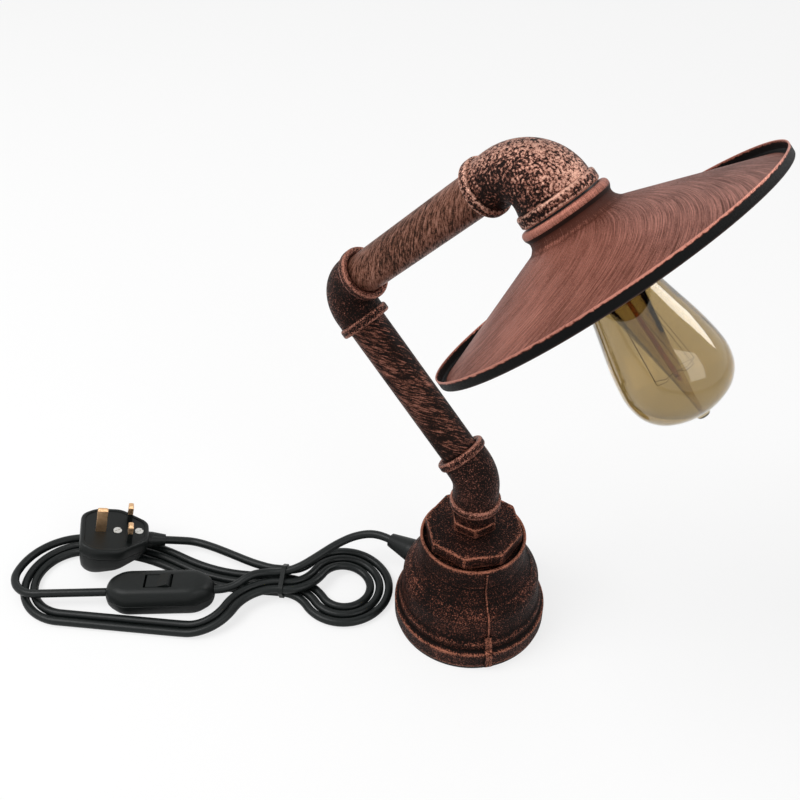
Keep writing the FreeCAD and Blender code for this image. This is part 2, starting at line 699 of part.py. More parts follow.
def inner_flex():
    """The flex through the base, the pipes and the head, cut where two pieces turn on each other."""
    base_turn = 26.0
    inside = WAIST_R - BELL_WALL - 8.0
    swivel_1 = ELBOW_Z - SLOW_LEG + NIPPLE_GRIP
    swivel_2 = LOWER_RUN - SQUARE_LEG + THREAD_DEPTH
    swivel_3 = UPPER_RUN - HEAD_INLET + THREAD_DEPTH
    stretches = {
        "flex_base": [Vector(-inside - 6.0, 0, GRIP_Z), Vector(0, 0, GRIP_Z), Vector(0, 0, swivel_1)],
        "flex_lower": [Vector(0, 0, swivel_1), E1, E1 + LOWER_DIR * swivel_2],
        "flex_upper": [E1 + LOWER_DIR * swivel_2, E2, E2 + UPPER_DIR * swivel_3],
        "flex_head": [E2 + UPPER_DIR * swivel_3, E3, E3 + SHADE_DIR * (INSERT_FLOOR - 4.0)],
    }
    for name, (start, corner, end) in stretches.items():
        reach = {"flex_base": base_turn, "flex_lower": 6.0}.get(name, 14.0)
        before = corner + (start - corner).normalize() * reach
        after = corner + (end - corner).normalize() * reach
        arc, radius = corner_arc(before, corner, after)
        first = Part.LineSegment(start, before).toShape()
        last = Part.LineSegment(after, end).toShape()
        path = Part.Wire([first, arc, last])
        save(name, tube(path, FLEX_R, 8, name))


# Free cord: lead, hank and tail

def switch_end(side):
    """Where the cord meets the switch: side is 1 at the end nearest the bell, else -1."""
    reach = side * SWITCH_L / 2
    turn = math.radians(SWITCH_HEADING)
    return on_floor(SWITCH_U + reach * math.cos(turn), SWITCH_V + reach * math.sin(turn), SWITCH_AXIS_Z)


def plug_place():
    """The plug's place: tilted so that its cord end lies lower, on the strands below it."""
    turn = FreeCAD.Rotation(UP, HANK_HEADING + PLUG_HEADING)
    tilt = FreeCAD.Rotation(Vector(0, 1, 0), PLUG_TILT)
    return FreeCAD.Placement(on_floor(PLUG_U, PLUG_V, PLUG_Z), turn.multiply(tilt))


def lead_route():
    way = way_on_floor(SWITCH_HEADING)
    end = switch_end(1)
    return [
        Vector(GRIP_TIP_X, 0, GRIP_Z),
        Vector(GRIP_TIP_X - 13.0, 0, GRIP_Z),
        on_floor(50, 37, 30),
        on_floor(35, 29, 26.5),
        on_floor(21, 17, 23),
        on_floor(8, 7.5, 19),
        on_floor(WAIST_U - 1, LEAD_V, LEAD_Z),
        on_floor(-18, 2, LEAD_Z),
        on_floor(-30, -3.4, 17.6),
        end + way * 13.0,
        end,
    ]


def tail_route():
    boot = Vector(PLUG_L / 2 + PLUG_BOOT_L, 0, -CORD_DROP)
    boot_tip = plug_place().multVec(boot)
    ahead = plug_place().multVec(boot + Vector(12.0, 0, 0))
    return [
        on_floor(WAIST_U, TAIL_V, HANK_OVER),
        on_floor(WAIST_U - 13.0, TAIL_V, HANK_OVER),
        on_floor(-33, 14, HANK_OVER),
        on_floor(-52, 22, 11),
        on_floor(-72, 31, 8.5),
        on_floor(-87, 35, 8),
        ahead,
        boot_tip,
    ]


def hank_stations():
    """Points and directions along the hank, from the switch to the tie."""
    stations = [(switch_end(-1), way_on_floor(SWITCH_HEADING + 180))]

    def add(u, v, z, heading, climb=0.0):
        stations.append((on_floor(u, v, z), way_on_floor(heading, climb)))

    def tangent(hub_u, hub_v, hub_r, arm_u, arm_v):
        """The point of the hub's circle that faces the arm's centre."""
        span = math.hypot(arm_u - hub_u, arm_v - hub_v)
        return hub_u + hub_r * (arm_u - hub_u) / span, hub_v + hub_r * (arm_v - hub_v) / span

    def arm_radius(reach, offset, hub_r):
        """The radius of an arc that leaves the waist level and meets the hub's circle."""
        return (reach ** 2 + offset ** 2 - hub_r ** 2) / (2 * (hub_r + offset))

    def facing(hub_u, hub_v, hub_r, arm_u, arm_v):
        """The same point, with the heading of the circle there: anticlockwise round the hub."""
        u, v = tangent(hub_u, hub_v, hub_r, arm_u, arm_v)
        return u, v, math.degrees(math.atan2(hub_v - v, hub_u - u)) - 90

    for k in range(HANK_LOOPS):
        # left turn, the first one outermost
        left_r = LEFT_TURN_R + HANK_STEP * (HANK_LOOPS - 1 - k)
        add(LEFT_U - left_r, LEFT_V, HANK_REST + (SWITCH_LIFT if k == 0 else 0), 90, -0.1 if k == 0 else 0)
        add(LEFT_U, LEFT_V + left_r, HANK_REST, 0)
        # under the others at the waist
        under_v = UNDER_V - HANK_STEP * k
        add(WAIST_U, under_v, HANK_UNDER, 0)
        # right turn, the first one innermost
        right_r = RIGHT_TURN_R + HANK_STEP * k
        arm_r = arm_radius(RIGHT_U - WAIST_U, under_v - RIGHT_V, right_r)
        u, v, heading = facing(RIGHT_U, RIGHT_V, right_r, WAIST_U, under_v - arm_r)
        add(u, v, HANK_REST + 0.4, heading)
        add(RIGHT_U + right_r, RIGHT_V, HANK_REST, 90)
        add(RIGHT_U, RIGHT_V + right_r, HANK_REST + 1.0, 180, 0.1)
        # back over them
        over_v = OVER_V + HANK_STEP * k if k < 2 else TAIL_V
        arm_r = arm_radius(RIGHT_U - WAIST_U, RIGHT_V - over_v, right_r)
        u, v, heading = facing(RIGHT_U, RIGHT_V, right_r, WAIST_U, over_v + arm_r)
        add(u, v, HANK_OVER - 1.0, heading, 0.1)
        add(WAIST_U, over_v, HANK_OVER, 180)
        if k < HANK_LOOPS - 1:
            # down to the floor in front of the switch, the first one outermost
            front_v = LEFT_V - LEFT_TURN_R - HANK_STEP * (HANK_LOOPS - 2 - k)
            half = arm_radius(WAIST_U - FRONT_U, over_v - front_v, 0) / 2
            near_r = half + HANK_STEP * k
            far_v = front_v + half - HANK_STEP * k
            u, v, heading = facing(WAIST_U, OVER_V - half, near_r, FRONT_U, far_v)
            add(u, v, (HANK_OVER + HANK_REST) / 2 + 1.0, heading, -0.2)
            add(FRONT_U, front_v, HANK_REST, 180)
            add(LEFT_U, front_v, HANK_REST, 180)
    return stations


def least_self_gap(path):
    """The least space between two stretches of a cord, measured on points along its middle."""
    step = 2.0
    points = path.discretize(Distance=step)
    skip = round(12 * CORD_R / step)
    least = path.Length
    for i, point in enumerate(points):
        for other in points[i + skip:]:
            apart = point.distanceToPoint(other)
            if apart < least:
                least = apart
                where = point
    print("closest at", where)
    return least - 2 * CORD_R


def cords():
    save("cord_lead", tube(eased_route(lead_route(), "lead"), CORD_R, 8, "lead"))
    save("cord_tail", tube(eased_route(tail_route(), "tail"), CORD_R, 8, "tail"))
    stations = hank_stations()
    edges = []
    for (start, start_way), (end, end_way) in zip(stations, stations[1:]):
        edges.extend(biarc(start, start_way, end, end_way))
    path = Part.Wire(edges)
    save("cord_hank", tube(path, CORD_R, 6, "hank"))
    print("hank least gap to itself", round(least_self_gap(path), 2))


# In-line switch

def switch_place():
    turn = FreeCAD.Rotation(UP, HANK_HEADING + SWITCH_HEADING)
    return FreeCAD.Placement(on_floor(SWITCH_U, SWITCH_V, 0), turn)


def switch_parts():
    place = switch_place()
    half_l = SWITCH_L / 2
    half_w = SWITCH_W / 2
    body_l = half_l - 14.0
    plan = Part.makePolygon([
        Vector(-half_l, -SWITCH_END_W / 2, 0), Vector(-body_l, -half_w, 0), Vector(body_l, -half_w, 0),
        Vector(half_l, -SWITCH_END_W / 2, 0), Vector(half_l, SWITCH_END_W / 2, 0), Vector(body_l, half_w, 0),
        Vector(-body_l, half_w, 0), Vector(-half_l, SWITCH_END_W / 2, 0),
        Vector(-half_l, -SWITCH_END_W / 2, 0)])
    side = outline((-half_l, SWITCH_END_DROP), (-body_l, 0), (body_l, 0), (half_l, SWITCH_END_DROP),
                   (half_l, SWITCH_H - SWITCH_END_DROP), (body_l, SWITCH_H), (-body_l, SWITCH_H),
                   (-half_l, SWITCH_H - SWITCH_END_DROP))
    casing = Part.Face(plan).extrude(UP * SWITCH_H)
    slab = Part.Face(side).extrude(Vector(0, SWITCH_W, 0))
    slab.translate(Vector(0, -half_w, 0))
    casing = casing.common(slab)
    casing = casing.makeFillet(2.0, casing.Edges)
    room_l = SWITCH_SCREW_X - 6.0
    room_w = half_w - SWITCH_WALL
    low_room = block((-room_l, -room_w, SWITCH_WALL), (room_l, room_w, SWITCH_SPLIT))
    high_room = block((-room_l, -room_w, SWITCH_SPLIT), (room_l, room_w, SWITCH_H - SWITCH_WALL))
    below = block((-half_l, -half_w, 0), (half_l, half_w, SWITCH_SPLIT))
    above = block((-half_l, -half_w, SWITCH_SPLIT), (half_l, half_w, SWITCH_H))
    base = casing.common(below).cut(low_room)
    cover = casing.common(above).cut(high_room)
    screws = []
    for x in (-SWITCH_SCREW_X, SWITCH_SCREW_X):
        hole = rod(1.7, 0, SWITCH_SPLIT).fuse(rod(3.1, 0, 3.0))
        hole.translate(Vector(x, 0, 0))
        base = base.cut(hole)
        blind = rod(1.45, SWITCH_SPLIT, SWITCH_SPLIT + 6.0)
        blind.translate(Vector(x, 0, 0))
        cover = cover.cut(blind)
        screw = rod(2.8, 0.9, 3.0).fuse(rod(1.4, 3.0, SWITCH_SPLIT + 5.5))
        screw = screw.cut(block((-3.0, -0.4, 0.9), (3.0, 0.4, 1.7)))
        screw.translate(Vector(x, 0, 0))
        screws.append(put(screw, place))
    opening_l = ROCKER_L / 2 + ROCKER_GAP
    opening_w = ROCKER_W / 2 + ROCKER_GAP
    top_wall = SWITCH_H - SWITCH_WALL
    cover = cover.cut(block((-opening_l, -opening_w, top_wall), (opening_l, opening_w, SWITCH_H)))
    for side_sign in (-1, 1):
        near = side_sign * opening_w
        far = side_sign * (opening_w + 2.0)
        cheek = block((-4.0, min(near, far), ROCKER_PIVOT_Z - 4.0), (4.0, max(near, far), top_wall))
        cover = cover.fuse(cheek)
    pin = cross_rod(ROCKER_PIN_R, opening_w + 1.0, ROCKER_PIVOT_Z)
    cover = cover.cut(cross_rod(ROCKER_PIN_R + TURN_GAP, opening_w + 2.0, ROCKER_PIVOT_Z))
    save("switch_base", put(base.removeSplitter(), place))
    save("switch_cover", put(cover.removeSplitter(), place))
    save("switch_screws", *screws)

    terminals = []
    for x in (-room_l + 5.0, room_l - 5.0):
        terminals.append(put(block((x - 4.0, -3.0, SWITCH_WALL), (x + 4.0, 3.0, SWITCH_SPLIT - 1.0)), place))
    save("switch_terminals", *terminals)

    reach = ROCKER_L / 2
    top = SWITCH_H - ROCKER_PIVOT_Z
    tilt = ROCKER_SWING / 2
    rise = reach * math.tan(math.radians(tilt))
    profile = outline((-reach, -0.5), (-reach, top + rise), (0, top), (reach, top + rise),
                      (reach, -0.5), (4.5, -4.5), (-4.5, -4.5))
    rocker = Part.Face(profile).extrude(Vector(0, ROCKER_W, 0))
    rocker.translate(Vector(0, -ROCKER_W / 2, 0))
    rocker = rocker.common(cross_rod(reach, ROCKER_W / 2, 0))
    rocker.translate(UP * ROCKER_PIVOT_Z)
    rocker = rocker.fuse(pin)
    rocker.rotate(Vector(0, 0, ROCKER_PIVOT_Z), Vector(0, 1, 0), -tilt)
    save("rocker", put(rocker.removeSplitter(), place))
    pivot = place.multVec(Vector(0, 0, ROCKER_PIVOT_Z))
    axis = place.Rotation.multVec(Vector(0, 1, 0))
    print("rocker pivot", pivot, "axis", axis)


# Plug

def plug_parts():
    place = plug_place()
    half_l = PLUG_L / 2
    plan_points = [
        (-half_l, -PLUG_TOP_W / 2), (-half_l + PLUG_TOP_TAPER, -PLUG_W / 2),
        (half_l - PLUG_END_TAPER, -PLUG_W / 2), (half_l, -PLUG_END_W / 2),
        (half_l, PLUG_END_W / 2), (half_l - PLUG_END_TAPER, PLUG_W / 2),
        (-half_l + PLUG_TOP_TAPER, PLUG_W / 2), (-half_l, PLUG_TOP_W / 2)]
    corners = [Vector(x, y, -PLUG_DEEP) for x, y in plan_points]
    whole = Part.Face(Part.makePolygon(corners + corners[:1])).extrude(UP * PLUG_DEEP)
    upright = [edge for edge in whole.Edges if abs(edge.tangentAt(edge.FirstParameter).z) > 0.9]
    whole = whole.makeFillet(4.0, upright)
    side = outline((-half_l, 0), (half_l, 0), (half_l, -PLUG_SHALLOW),
                   (-half_l + 10.0, -PLUG_DEEP), (-half_l, -PLUG_DEEP + 4.0))
    slab = Part.Face(side).extrude(Vector(0, PLUG_W, 0))
    slab.translate(Vector(0, -PLUG_W / 2, 0))
    whole = whole.common(slab)
    plate = whole.common(block((-half_l, -PLUG_W / 2, -PLUG_PLATE_T), (half_l, PLUG_W / 2, 0)))
    cover = whole.common(block((-half_l, -PLUG_W / 2, -PLUG_DEEP), (half_l, PLUG_W / 2, -PLUG_PLATE_T)))
    room_floor = -PLUG_PLATE_T - 10.4
    room_w = PLUG_W / 2 - PLUG_WALL
    throat_w = room_w - 4.5
    wide_end = half_l - PLUG_END_TAPER
    room = block((-half_l + 8.0, -room_w, room_floor), (wide_end, room_w, -PLUG_PLATE_T))
    throat = block((wide_end, -throat_w, room_floor), (wide_end + 10.0, throat_w, -PLUG_PLATE_T))
    cover = cover.cut(room.fuse(throat))

    half = PIN_SPREAD / 2
    earth_low = -half - EARTH_W / 2
    earth_high = -half + EARTH_W / 2
    near = half - PIN_T / 2
    far = half + PIN_T / 2
    earth = block((earth_low, -PIN_T / 2, -PIN_INSIDE), (earth_high, PIN_T / 2, EARTH_LENGTH))
    pins = {"earth_pin": earth}
    sleeves = []
    for name, y in (("line_pin", half), ("neutral_pin", -half)):
        left = y - PIN_W / 2
        right = y + PIN_W / 2
        pin = block((near, left, -PIN_INSIDE), (far, right, PIN_LENGTH))
        outer = block((near, left, -1.0), (far, right, SLEEVE_LENGTH))
        core = block((near + SLEEVE_T, left + SLEEVE_T, -1.0),
                     (far - SLEEVE_T, right - SLEEVE_T, SLEEVE_LENGTH))
        sleeve = outer.cut(core)
        pins[name] = pin.cut(sleeve)
        sleeves.append(put(sleeve, place))
        plate = plate.cut(block((near, left, -PLUG_PLATE_T), (far, right, 0)))
    plate = plate.cut(block((earth_low, -PIN_T / 2, -PLUG_PLATE_T), (earth_high, PIN_T / 2, 0)))
    screws = []
    for x, y in ((2.0, 0.0), (half_l - 8.0, 0.0)):
        recess = rod(3.6, -2.5, 0).fuse(rod(1.75, -PLUG_PLATE_T, 0))
        recess.translate(Vector(x, y, 0))
        plate = plate.cut(recess)
        blind = rod(1.75, -PLUG_PLATE_T - 3.0, -PLUG_PLATE_T)
        blind.translate(Vector(x, y, 0))
        cover = cover.cut(blind)
        screw = rod(3.3, -2.5, -0.6).fuse(rod(1.7, -PLUG_PLATE_T - 2.7, -2.5))
        screw = screw.cut(block((-3.4, -0.45, -1.4), (3.4, 0.45, -0.6)))
        screw.rotate(Vector(), UP, 35)
        screw.translate(Vector(x, y, 0))
        screws.append(put(screw, place))
    save("plug_base", put(plate.removeSplitter(), place))
    save("plug_cover", put(cover.removeSplitter(), place))
    for name, pin in pins.items():
        save(name, put(pin.removeSplitter(), place))
    save("pin_sleeves", *sleeves)
    save("plug_screws", *screws)
    fuse_r = 3.15
    fuse_end = Vector(half - 22.0, half, -PIN_INSIDE - SEAT_GAP - fuse_r)
    fuse = Part.makeCylinder(fuse_r, 25.4, fuse_end, Vector(1, 0, 0))
    save("plug_fuse", put(fuse, place))
    boot = turned((0, 0), (6.4, 0), (6.4, 3.0), (CORD_R + 1.4, PLUG_BOOT_L), (0, PLUG_BOOT_L))
    boot_place = FreeCAD.Placement(Vector(half_l, 0, -CORD_DROP), FreeCAD.Rotation(Vector(0, 1, 0), 90))
    save("plug_boot", put(put(boot, boot_place), place))


def cord_tie():
    """A strap round the waist of the hank."""
    strands = [(UNDER_V, HANK_UNDER), (TAIL_V, HANK_OVER), (LEAD_V + 0.8, LEAD_Z + 1.0), (OVER_V, HANK_OVER),
               (UNDER_V - (HANK_LOOPS - 1) * HANK_STEP, HANK_UNDER)]
    corners = [Vector(0, v, z) for v, z in strands]
    face = Part.Face(Part.makePolygon(corners + corners[:1]))
    strap = face.makeOffset2D(CORD_R + 1.2).cut(face.makeOffset2D(CORD_R + 0.1)).extrude(Vector(3.4, 0, 0))
    place = FreeCAD.Placement(on_floor(WAIST_U - 1.7, 0, 0), FreeCAD.Rotation(UP, HANK_HEADING))
    save("cord_tie", put(strap, place))


save("base_pad", rod(FOOT_R - PAD_INSET, 0, PAD_T))
save("base_bell", base_bell())
save("octagon_bush", octagon_bush())
save("hex_nipple", hex_nipple())
grip_parts()
save("elbow_45", slow_elbow())
slow_straight = SLOW_UPPER_LEG - SLOW_BEND * math.tan(math.radians(abs(LOWER_LEAN) / 2))
lower_grip = min(THREAD_DEPTH, slow_straight) - SEAT_GAP
save("pipe_lower", pipe(E1, LOWER_LEAN, LOWER_RUN, SLOW_UPPER_LEG, lower_grip, SQUARE_LEG, THREAD_DEPTH))
save("elbow_90", elbow(E2, LOWER_LEAN, UPPER_LEAN, SQUARE_LEG, SQUARE_LEG, SQUARE_BEND))
upper_grip = THREAD_DEPTH - SEAT_GAP
save("pipe_upper", pipe(E2, UPPER_LEAN, UPPER_RUN, SQUARE_LEG, upper_grip, HEAD_INLET, THREAD_DEPTH))
save("reducing_elbow", reducing_elbow())
holder_parts()
save("shade", shade())
bulb_parts()
inner_flex()
cords()
switch_parts()
plug_parts()
cord_tie()
print("E2", E2, "E3", E3)
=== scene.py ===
import math

import bmesh
import bpy
from mathutils import Matrix, Vector


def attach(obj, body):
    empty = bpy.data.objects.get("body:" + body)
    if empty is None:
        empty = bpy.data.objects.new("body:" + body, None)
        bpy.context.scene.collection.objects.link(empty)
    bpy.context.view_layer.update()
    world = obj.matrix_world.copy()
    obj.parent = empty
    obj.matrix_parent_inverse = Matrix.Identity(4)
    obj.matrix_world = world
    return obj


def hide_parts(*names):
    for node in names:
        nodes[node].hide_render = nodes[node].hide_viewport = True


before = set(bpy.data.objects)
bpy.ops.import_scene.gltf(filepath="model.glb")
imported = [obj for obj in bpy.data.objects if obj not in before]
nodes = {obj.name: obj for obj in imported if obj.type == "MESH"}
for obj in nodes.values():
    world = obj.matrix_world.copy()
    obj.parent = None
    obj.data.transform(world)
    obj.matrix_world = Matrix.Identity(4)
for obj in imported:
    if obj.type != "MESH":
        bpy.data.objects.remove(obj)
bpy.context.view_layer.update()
scene = bpy.context.scene
scene.view_settings.view_transform = "Standard"

# Camera
# It looks down on the lamp from the side where both pipes and the mould rib show.
camera = bpy.data.objects.new("camera", bpy.data.cameras.new("camera"))
scene.collection.objects.link(camera)
camera.data.sensor_width = 36
camera.data.lens = 44.7
camera.location = (0.242906, -0.449437, 0.621856)
camera.rotation_euler = (math.radians(90 - 38.94), 0, math.radians(34.45))
scene.camera = camera

# Free cord
# Round black flex, 6.6 mm over its sheath: a short lead to the switch, then a length folded in
# three long loops that a strap ties at the waist, and a tail up to the plug.


class Term:
    """A value inside a material, so that its formulas read as ordinary arithmetic."""

    def __init__(self, surface, socket):
        self.surface = surface
        self.socket = socket

    def __add__(self, other):
        return self.surface.math("ADD", self, other)

    def __radd__(self, other):
        return self.surface.math("ADD", other, self)

    def __sub__(self, other):
        return self.surface.math("SUBTRACT", self, other)

    def __rsub__(self, other):
        return self.surface.math("SUBTRACT", other, self)

    def __mul__(self, other):
        return self.surface.math("MULTIPLY", self, other)

    def __rmul__(self, other):
        return self.surface.math("MULTIPLY", other, self)

    def __truediv__(self, other):
        return self.surface.math("DIVIDE", self, other)

    def between(self, low, high):
        """0 below low and 1 above high, with a soft step."""
        ends = {"Value": self, "From Min": low, "From Max": high}
        return self.surface.node("ShaderNodeMapRange", "Result", ends, interpolation_type="SMOOTHSTEP")


class Surface:
    """A material. Constants go on the shader's own sockets, and terms drive what varies."""

    def __init__(self, name, **constants):
        self.material = bpy.data.materials.new(name)
        self.material.use_nodes = True
        self.tree = self.material.node_tree
        self.shader = self.tree.nodes["Principled BSDF"]
        for key, value in constants.items():
            self.set(key.replace("_", " "), value)

    def set(self, name, value):
        self.give(self.shader.inputs[name], value)

    def give(self, socket, value):
        if isinstance(value, Term):
            self.tree.links.new(value.socket, socket)
        elif hasattr(value, "__len__") and len(value) == 3 and len(socket.default_value) == 4:
            socket.default_value = (*value, 1)
        else:
            socket.default_value = value

    def node(self, kind, output, inputs, **settings):
        """Any node, as the term of one of its outputs."""
        made = self.tree.nodes.new(kind)
        for key, value in settings.items():
            setattr(made, key, value)
        for key, value in inputs.items():
            self.give(made.inputs[key], value)
        return Term(self, made.outputs[output])

    def math(self, operation, *terms):
        return self.node("ShaderNodeMath", 0, dict(enumerate(terms)), operation=operation)

    def place(self):
        """The point's coordinates in its piece's own upright frame, as three terms, in metres."""
        here = self.node("ShaderNodeAttribute", "Vector", {}, attribute_name="own")
        return [self.node("ShaderNodeSeparateXYZ", axis, {0: here}) for axis in "XYZ"]

    def vector(self, x, y, z):
        return self.node("ShaderNodeCombineXYZ", 0, {0: x, 1: y, 2: z})

    def noise(self, scale, detail=3.0, where=None, rough=0.55):
        """Noise about its middle value of a half, with grains of about 1 / scale metres."""
        at = where or self.node("ShaderNodeTexCoord", "Object", {})
        inputs = {"Vector": at, "Scale": scale, "Detail": detail, "Roughness": rough}
        return self.node("ShaderNodeTexNoise", 0, inputs)

    def mix(self, low, high, share):
        return self.node("ShaderNodeMix", 2, {0: share, 6: low, 7: high}, data_type="RGBA")

    def relief(self, height, depth):
        """Bumps of this height term, at most depth metres deep."""
        bump = self.node("ShaderNodeBump", 0, {"Height": height, "Distance": depth, "Strength": 1.0})
        self.set("Normal", bump)


def dress(piece, surface):
    """Give a piece one material."""
    piece.data.materials.clear()
    piece.data.materials.append(surface.material)


black_flex = Surface("black_flex", Specular_IOR_Level=0.22)
grain = black_flex.noise(500, 4)
black_flex.set("Base Color", black_flex.mix((0.0035, 0.0048, 0.0048), (0.0085, 0.0110, 0.0108), grain))
black_flex.set("Roughness", 0.28 + grain * 0.16)
black_flex.relief(grain, 0.00008)

# The hank's layout, in metres along and across it: hubs and radii of its turns, the strap's place,
# heights above the table, and how its leading points are spaced.
HEADING = math.radians(28)
LOOPS = 3
STEP = 0.0075
WAIST = -0.004
RIGHT = (0.045, 0.004)
RIGHT_TURN = 0.020
LEFT = (-0.172, -0.0145)
LEFT_TURN = 0.0325
FRONT = -0.070
REST = 0.0034
STRAPPED = 0.0046
CLIMB = 0.0105
OVER = 0.012
SPACING = 0.0085
LEAD_IN = 0.0045
CORD_R = 0.0033
SWITCH_AT = (-0.098, -0.023)
SWITCH_TURN = math.radians(8.13)
SWITCH_HALF = 0.0424


def on_floor(u, v, z):
    """A point by its place in the hank: u along it, v across it and z above the table."""
    along = Vector((math.cos(HEADING), math.sin(HEADING), 0))
    aside = Vector((-math.sin(HEADING), math.cos(HEADING), 0))
    return Vector((-0.1286, -0.0653, 0)) + along * u + aside * v + Vector((0, 0, z))


def cord(name, points):
    """A round cord whose smooth line is led by these points. Each point's radius is the cord's own
    and the bevel only multiplies it, so that the curve's box is no larger than the cord."""
    data = bpy.data.curves.new(name, "CURVE")
    data.dimensions = "3D"
    data.bevel_depth = 1
    data.bevel_resolution = 5
    data.resolution_u = 8
    line = data.splines.new("NURBS")
    line.points.add(len(points) - 1)
    for point, place in zip(line.points, points):
        point.co = (*place, 1)
        point.radius = CORD_R
    line.order_u = 3
    line.use_endpoint_u = True
    piece = bpy.data.objects.new(name, data)
    scene.collection.objects.link(piece)
    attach(piece, "base")
    dress(piece, black_flex)
    return piece


def switch_point(along):
    """A point on the switch's long axis, at cord height."""
    u, v = SWITCH_AT
    return u + along * math.cos(SWITCH_TURN), v + along * math.sin(SWITCH_TURN), 0.012


def arm(reach, offset, hub):
    """The radius of an arc that leaves level with the waist and meets a circle of radius hub."""
    return (reach ** 2 + offset ** 2 - hub ** 2) / (2 * (hub + offset))


def lean(hub_u, hub_v, arm_u, arm_v):
    """How far in degrees the cord has turned from the hank's line where the two arcs meet."""
    swing = abs(math.degrees(math.atan2(arm_u - hub_u, arm_v - hub_v)))
    return min(swing, 180 - swing)


def arc(middle, radius, start, end, low, high):
    """Leading points round part of a turn, where tangents about SPACING apart meet. Angles are in
    degrees, and the cord goes evenly from height low to height high."""
    count = max(1, round(math.radians(abs(end - start)) * radius / SPACING))
    step = (end - start) / count
    reach = radius / math.cos(math.radians(step / 2))
    found = []
    for i in range(count):
        share = (i + 0.5) / count
        angle = math.radians(start + (end - start) * share)
        u = middle[0] + reach * math.cos(angle)
        v = middle[1] + reach * math.sin(angle)
        found.append((u, v, low + (high - low) * share))
    return found


plug_place = Matrix.Translation(on_floor(-0.145, 0.018, 0.0334))
plug_place = plug_place @ Matrix.Rotation(HEADING + math.radians(18), 4, "Z")
plug_place = plug_place @ Matrix.Rotation(math.radians(15), 4, "Y")

route = [switch_point(-SWITCH_HALF), switch_point(-SWITCH_HALF - 0.050)]
route += arc((-0.1975, -0.0149), 0.022, 278, 181, 0.012, 0.0098)
for k in range(LOOPS):
    turn = LEFT_TURN + STEP * (LOOPS - 1 - k)
    route += arc(LEFT, turn, 270 if k else 181, 90, REST if k else 0.0095, REST)
    under = 0.0075 - STEP * k
    route += [(LEFT[0] + LEAD_IN, LEFT[1] + turn, REST), (LEFT[0] + 0.05, LEFT[1] + turn, REST)]
    route += [(WAIST - 0.06, under, REST), (WAIST - LEAD_IN, under, STRAPPED)]
    turn = RIGHT_TURN + STEP * k
    reach = arm(RIGHT[0] - WAIST, under - RIGHT[1], turn)
    swing = lean(*RIGHT, WAIST, under - reach)
    route += arc((WAIST, under - reach), reach, 90, 90 - swing, STRAPPED, REST)
    route += arc(RIGHT, turn, -90 - swing, 45, REST, REST)
    over = 0.010 if k == LOOPS - 1 else -0.0105 + STEP * k
    reach = arm(RIGHT[0] - WAIST, RIGHT[1] - over, turn)
    swing = lean(*RIGHT, WAIST, over + reach)
    route += arc(RIGHT, turn, 45, 90 + swing, REST, CLIMB)
    route += arc((WAIST, over + reach), reach, swing - 90, -90, CLIMB, OVER)
    if k < LOOPS - 1:
        front = LEFT[1] - LEFT_TURN - STEP * (LOOPS - 2 - k)
        half = arm(WAIST - FRONT, over - front, 0) / 2
        near = half + STEP * k
        far = half - STEP * k
        swing = math.degrees(math.asin((WAIST - FRONT) / (near + far)))
        route += arc((WAIST, over - near), near, 90, 90 + swing, OVER, CLIMB)
        route += arc((FRONT, front + far), far, swing - 90, -90, CLIMB, REST)
        route += [(FRONT - LEAD_IN, front, REST), (FRONT - 0.03, front, REST)]
        route.append((LEFT[0] + LEAD_IN, front, REST))
places = [on_floor(*point) for point in route]
tail = [(WAIST - LEAD_IN, 0.010, OVER), (-0.017, 0.010, OVER), (-0.033, 0.014, OVER),
        (-0.052, 0.022, 0.011), (-0.072, 0.031, 0.0085), (-0.087, 0.035, 0.008)]
places += [on_floor(*point) for point in tail]
places += [plug_place @ Vector((0.053, 0, -0.010)), plug_place @ Vector((0.041, 0, -0.010))]
hank = cord("cord_hank_and_tail", places)
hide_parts("cord_hank", "cord_tail")

grip_tip = Vector((-0.074, 0, 0.033))
lead_points = [(0.050, 0.037, 0.030), (0.035, 0.029, 0.0265), (0.021, 0.017, 0.023), (0.008, 0.0075, 0.019),
               (-0.005, 0.0034, 0.0158), (-0.018, 0.002, 0.0158), (-0.030, -0.0034, 0.0176),
               switch_point(SWITCH_HALF + 0.013), switch_point(SWITCH_HALF)]
lead_start = [grip_tip, grip_tip + Vector((-0.013, 0, 0))]
lead = cord("cord_to_switch", lead_start + [on_floor(*point) for point in lead_points])
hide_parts("cord_lead")

# Table and light
# A pale table, a wide soft lamp from above on the left, a weaker one on the right and an even white
# room. A third lamp shows only in reflections, as the bright strip of a window on the bulb.
floor_mesh = bpy.data.meshes.new("table_top")
floor_mesh.from_pydata([(-6, -6, 0), (6, -6, 0), (6, 6, 0), (-6, 6, 0)], [], [(0, 1, 2, 3)])
table_top = bpy.data.objects.new("table_top", floor_mesh)
table_top.location.z = -0.0003
scene.collection.objects.link(table_top)
table = Surface("table_top", Roughness=0.9, Specular_IOR_Level=0.1)
table.set("Base Color", (0.90, 0.90, 0.90))
glow = table.tree.nodes.new("ShaderNodeEmission")
seen = table.node("ShaderNodeLightPath", "Is Camera Ray", {})
both = table.tree.nodes.new("ShaderNodeMixShader")
table.give(both.inputs[0], seen * 0.72)
table.tree.links.new(table.shader.outputs[0], both.inputs[1])
table.tree.links.new(glow.outputs[0], both.inputs[2])
table.tree.links.new(both.outputs[0], table.tree.nodes["Material Output"].inputs[0])
dress(table_top, table)


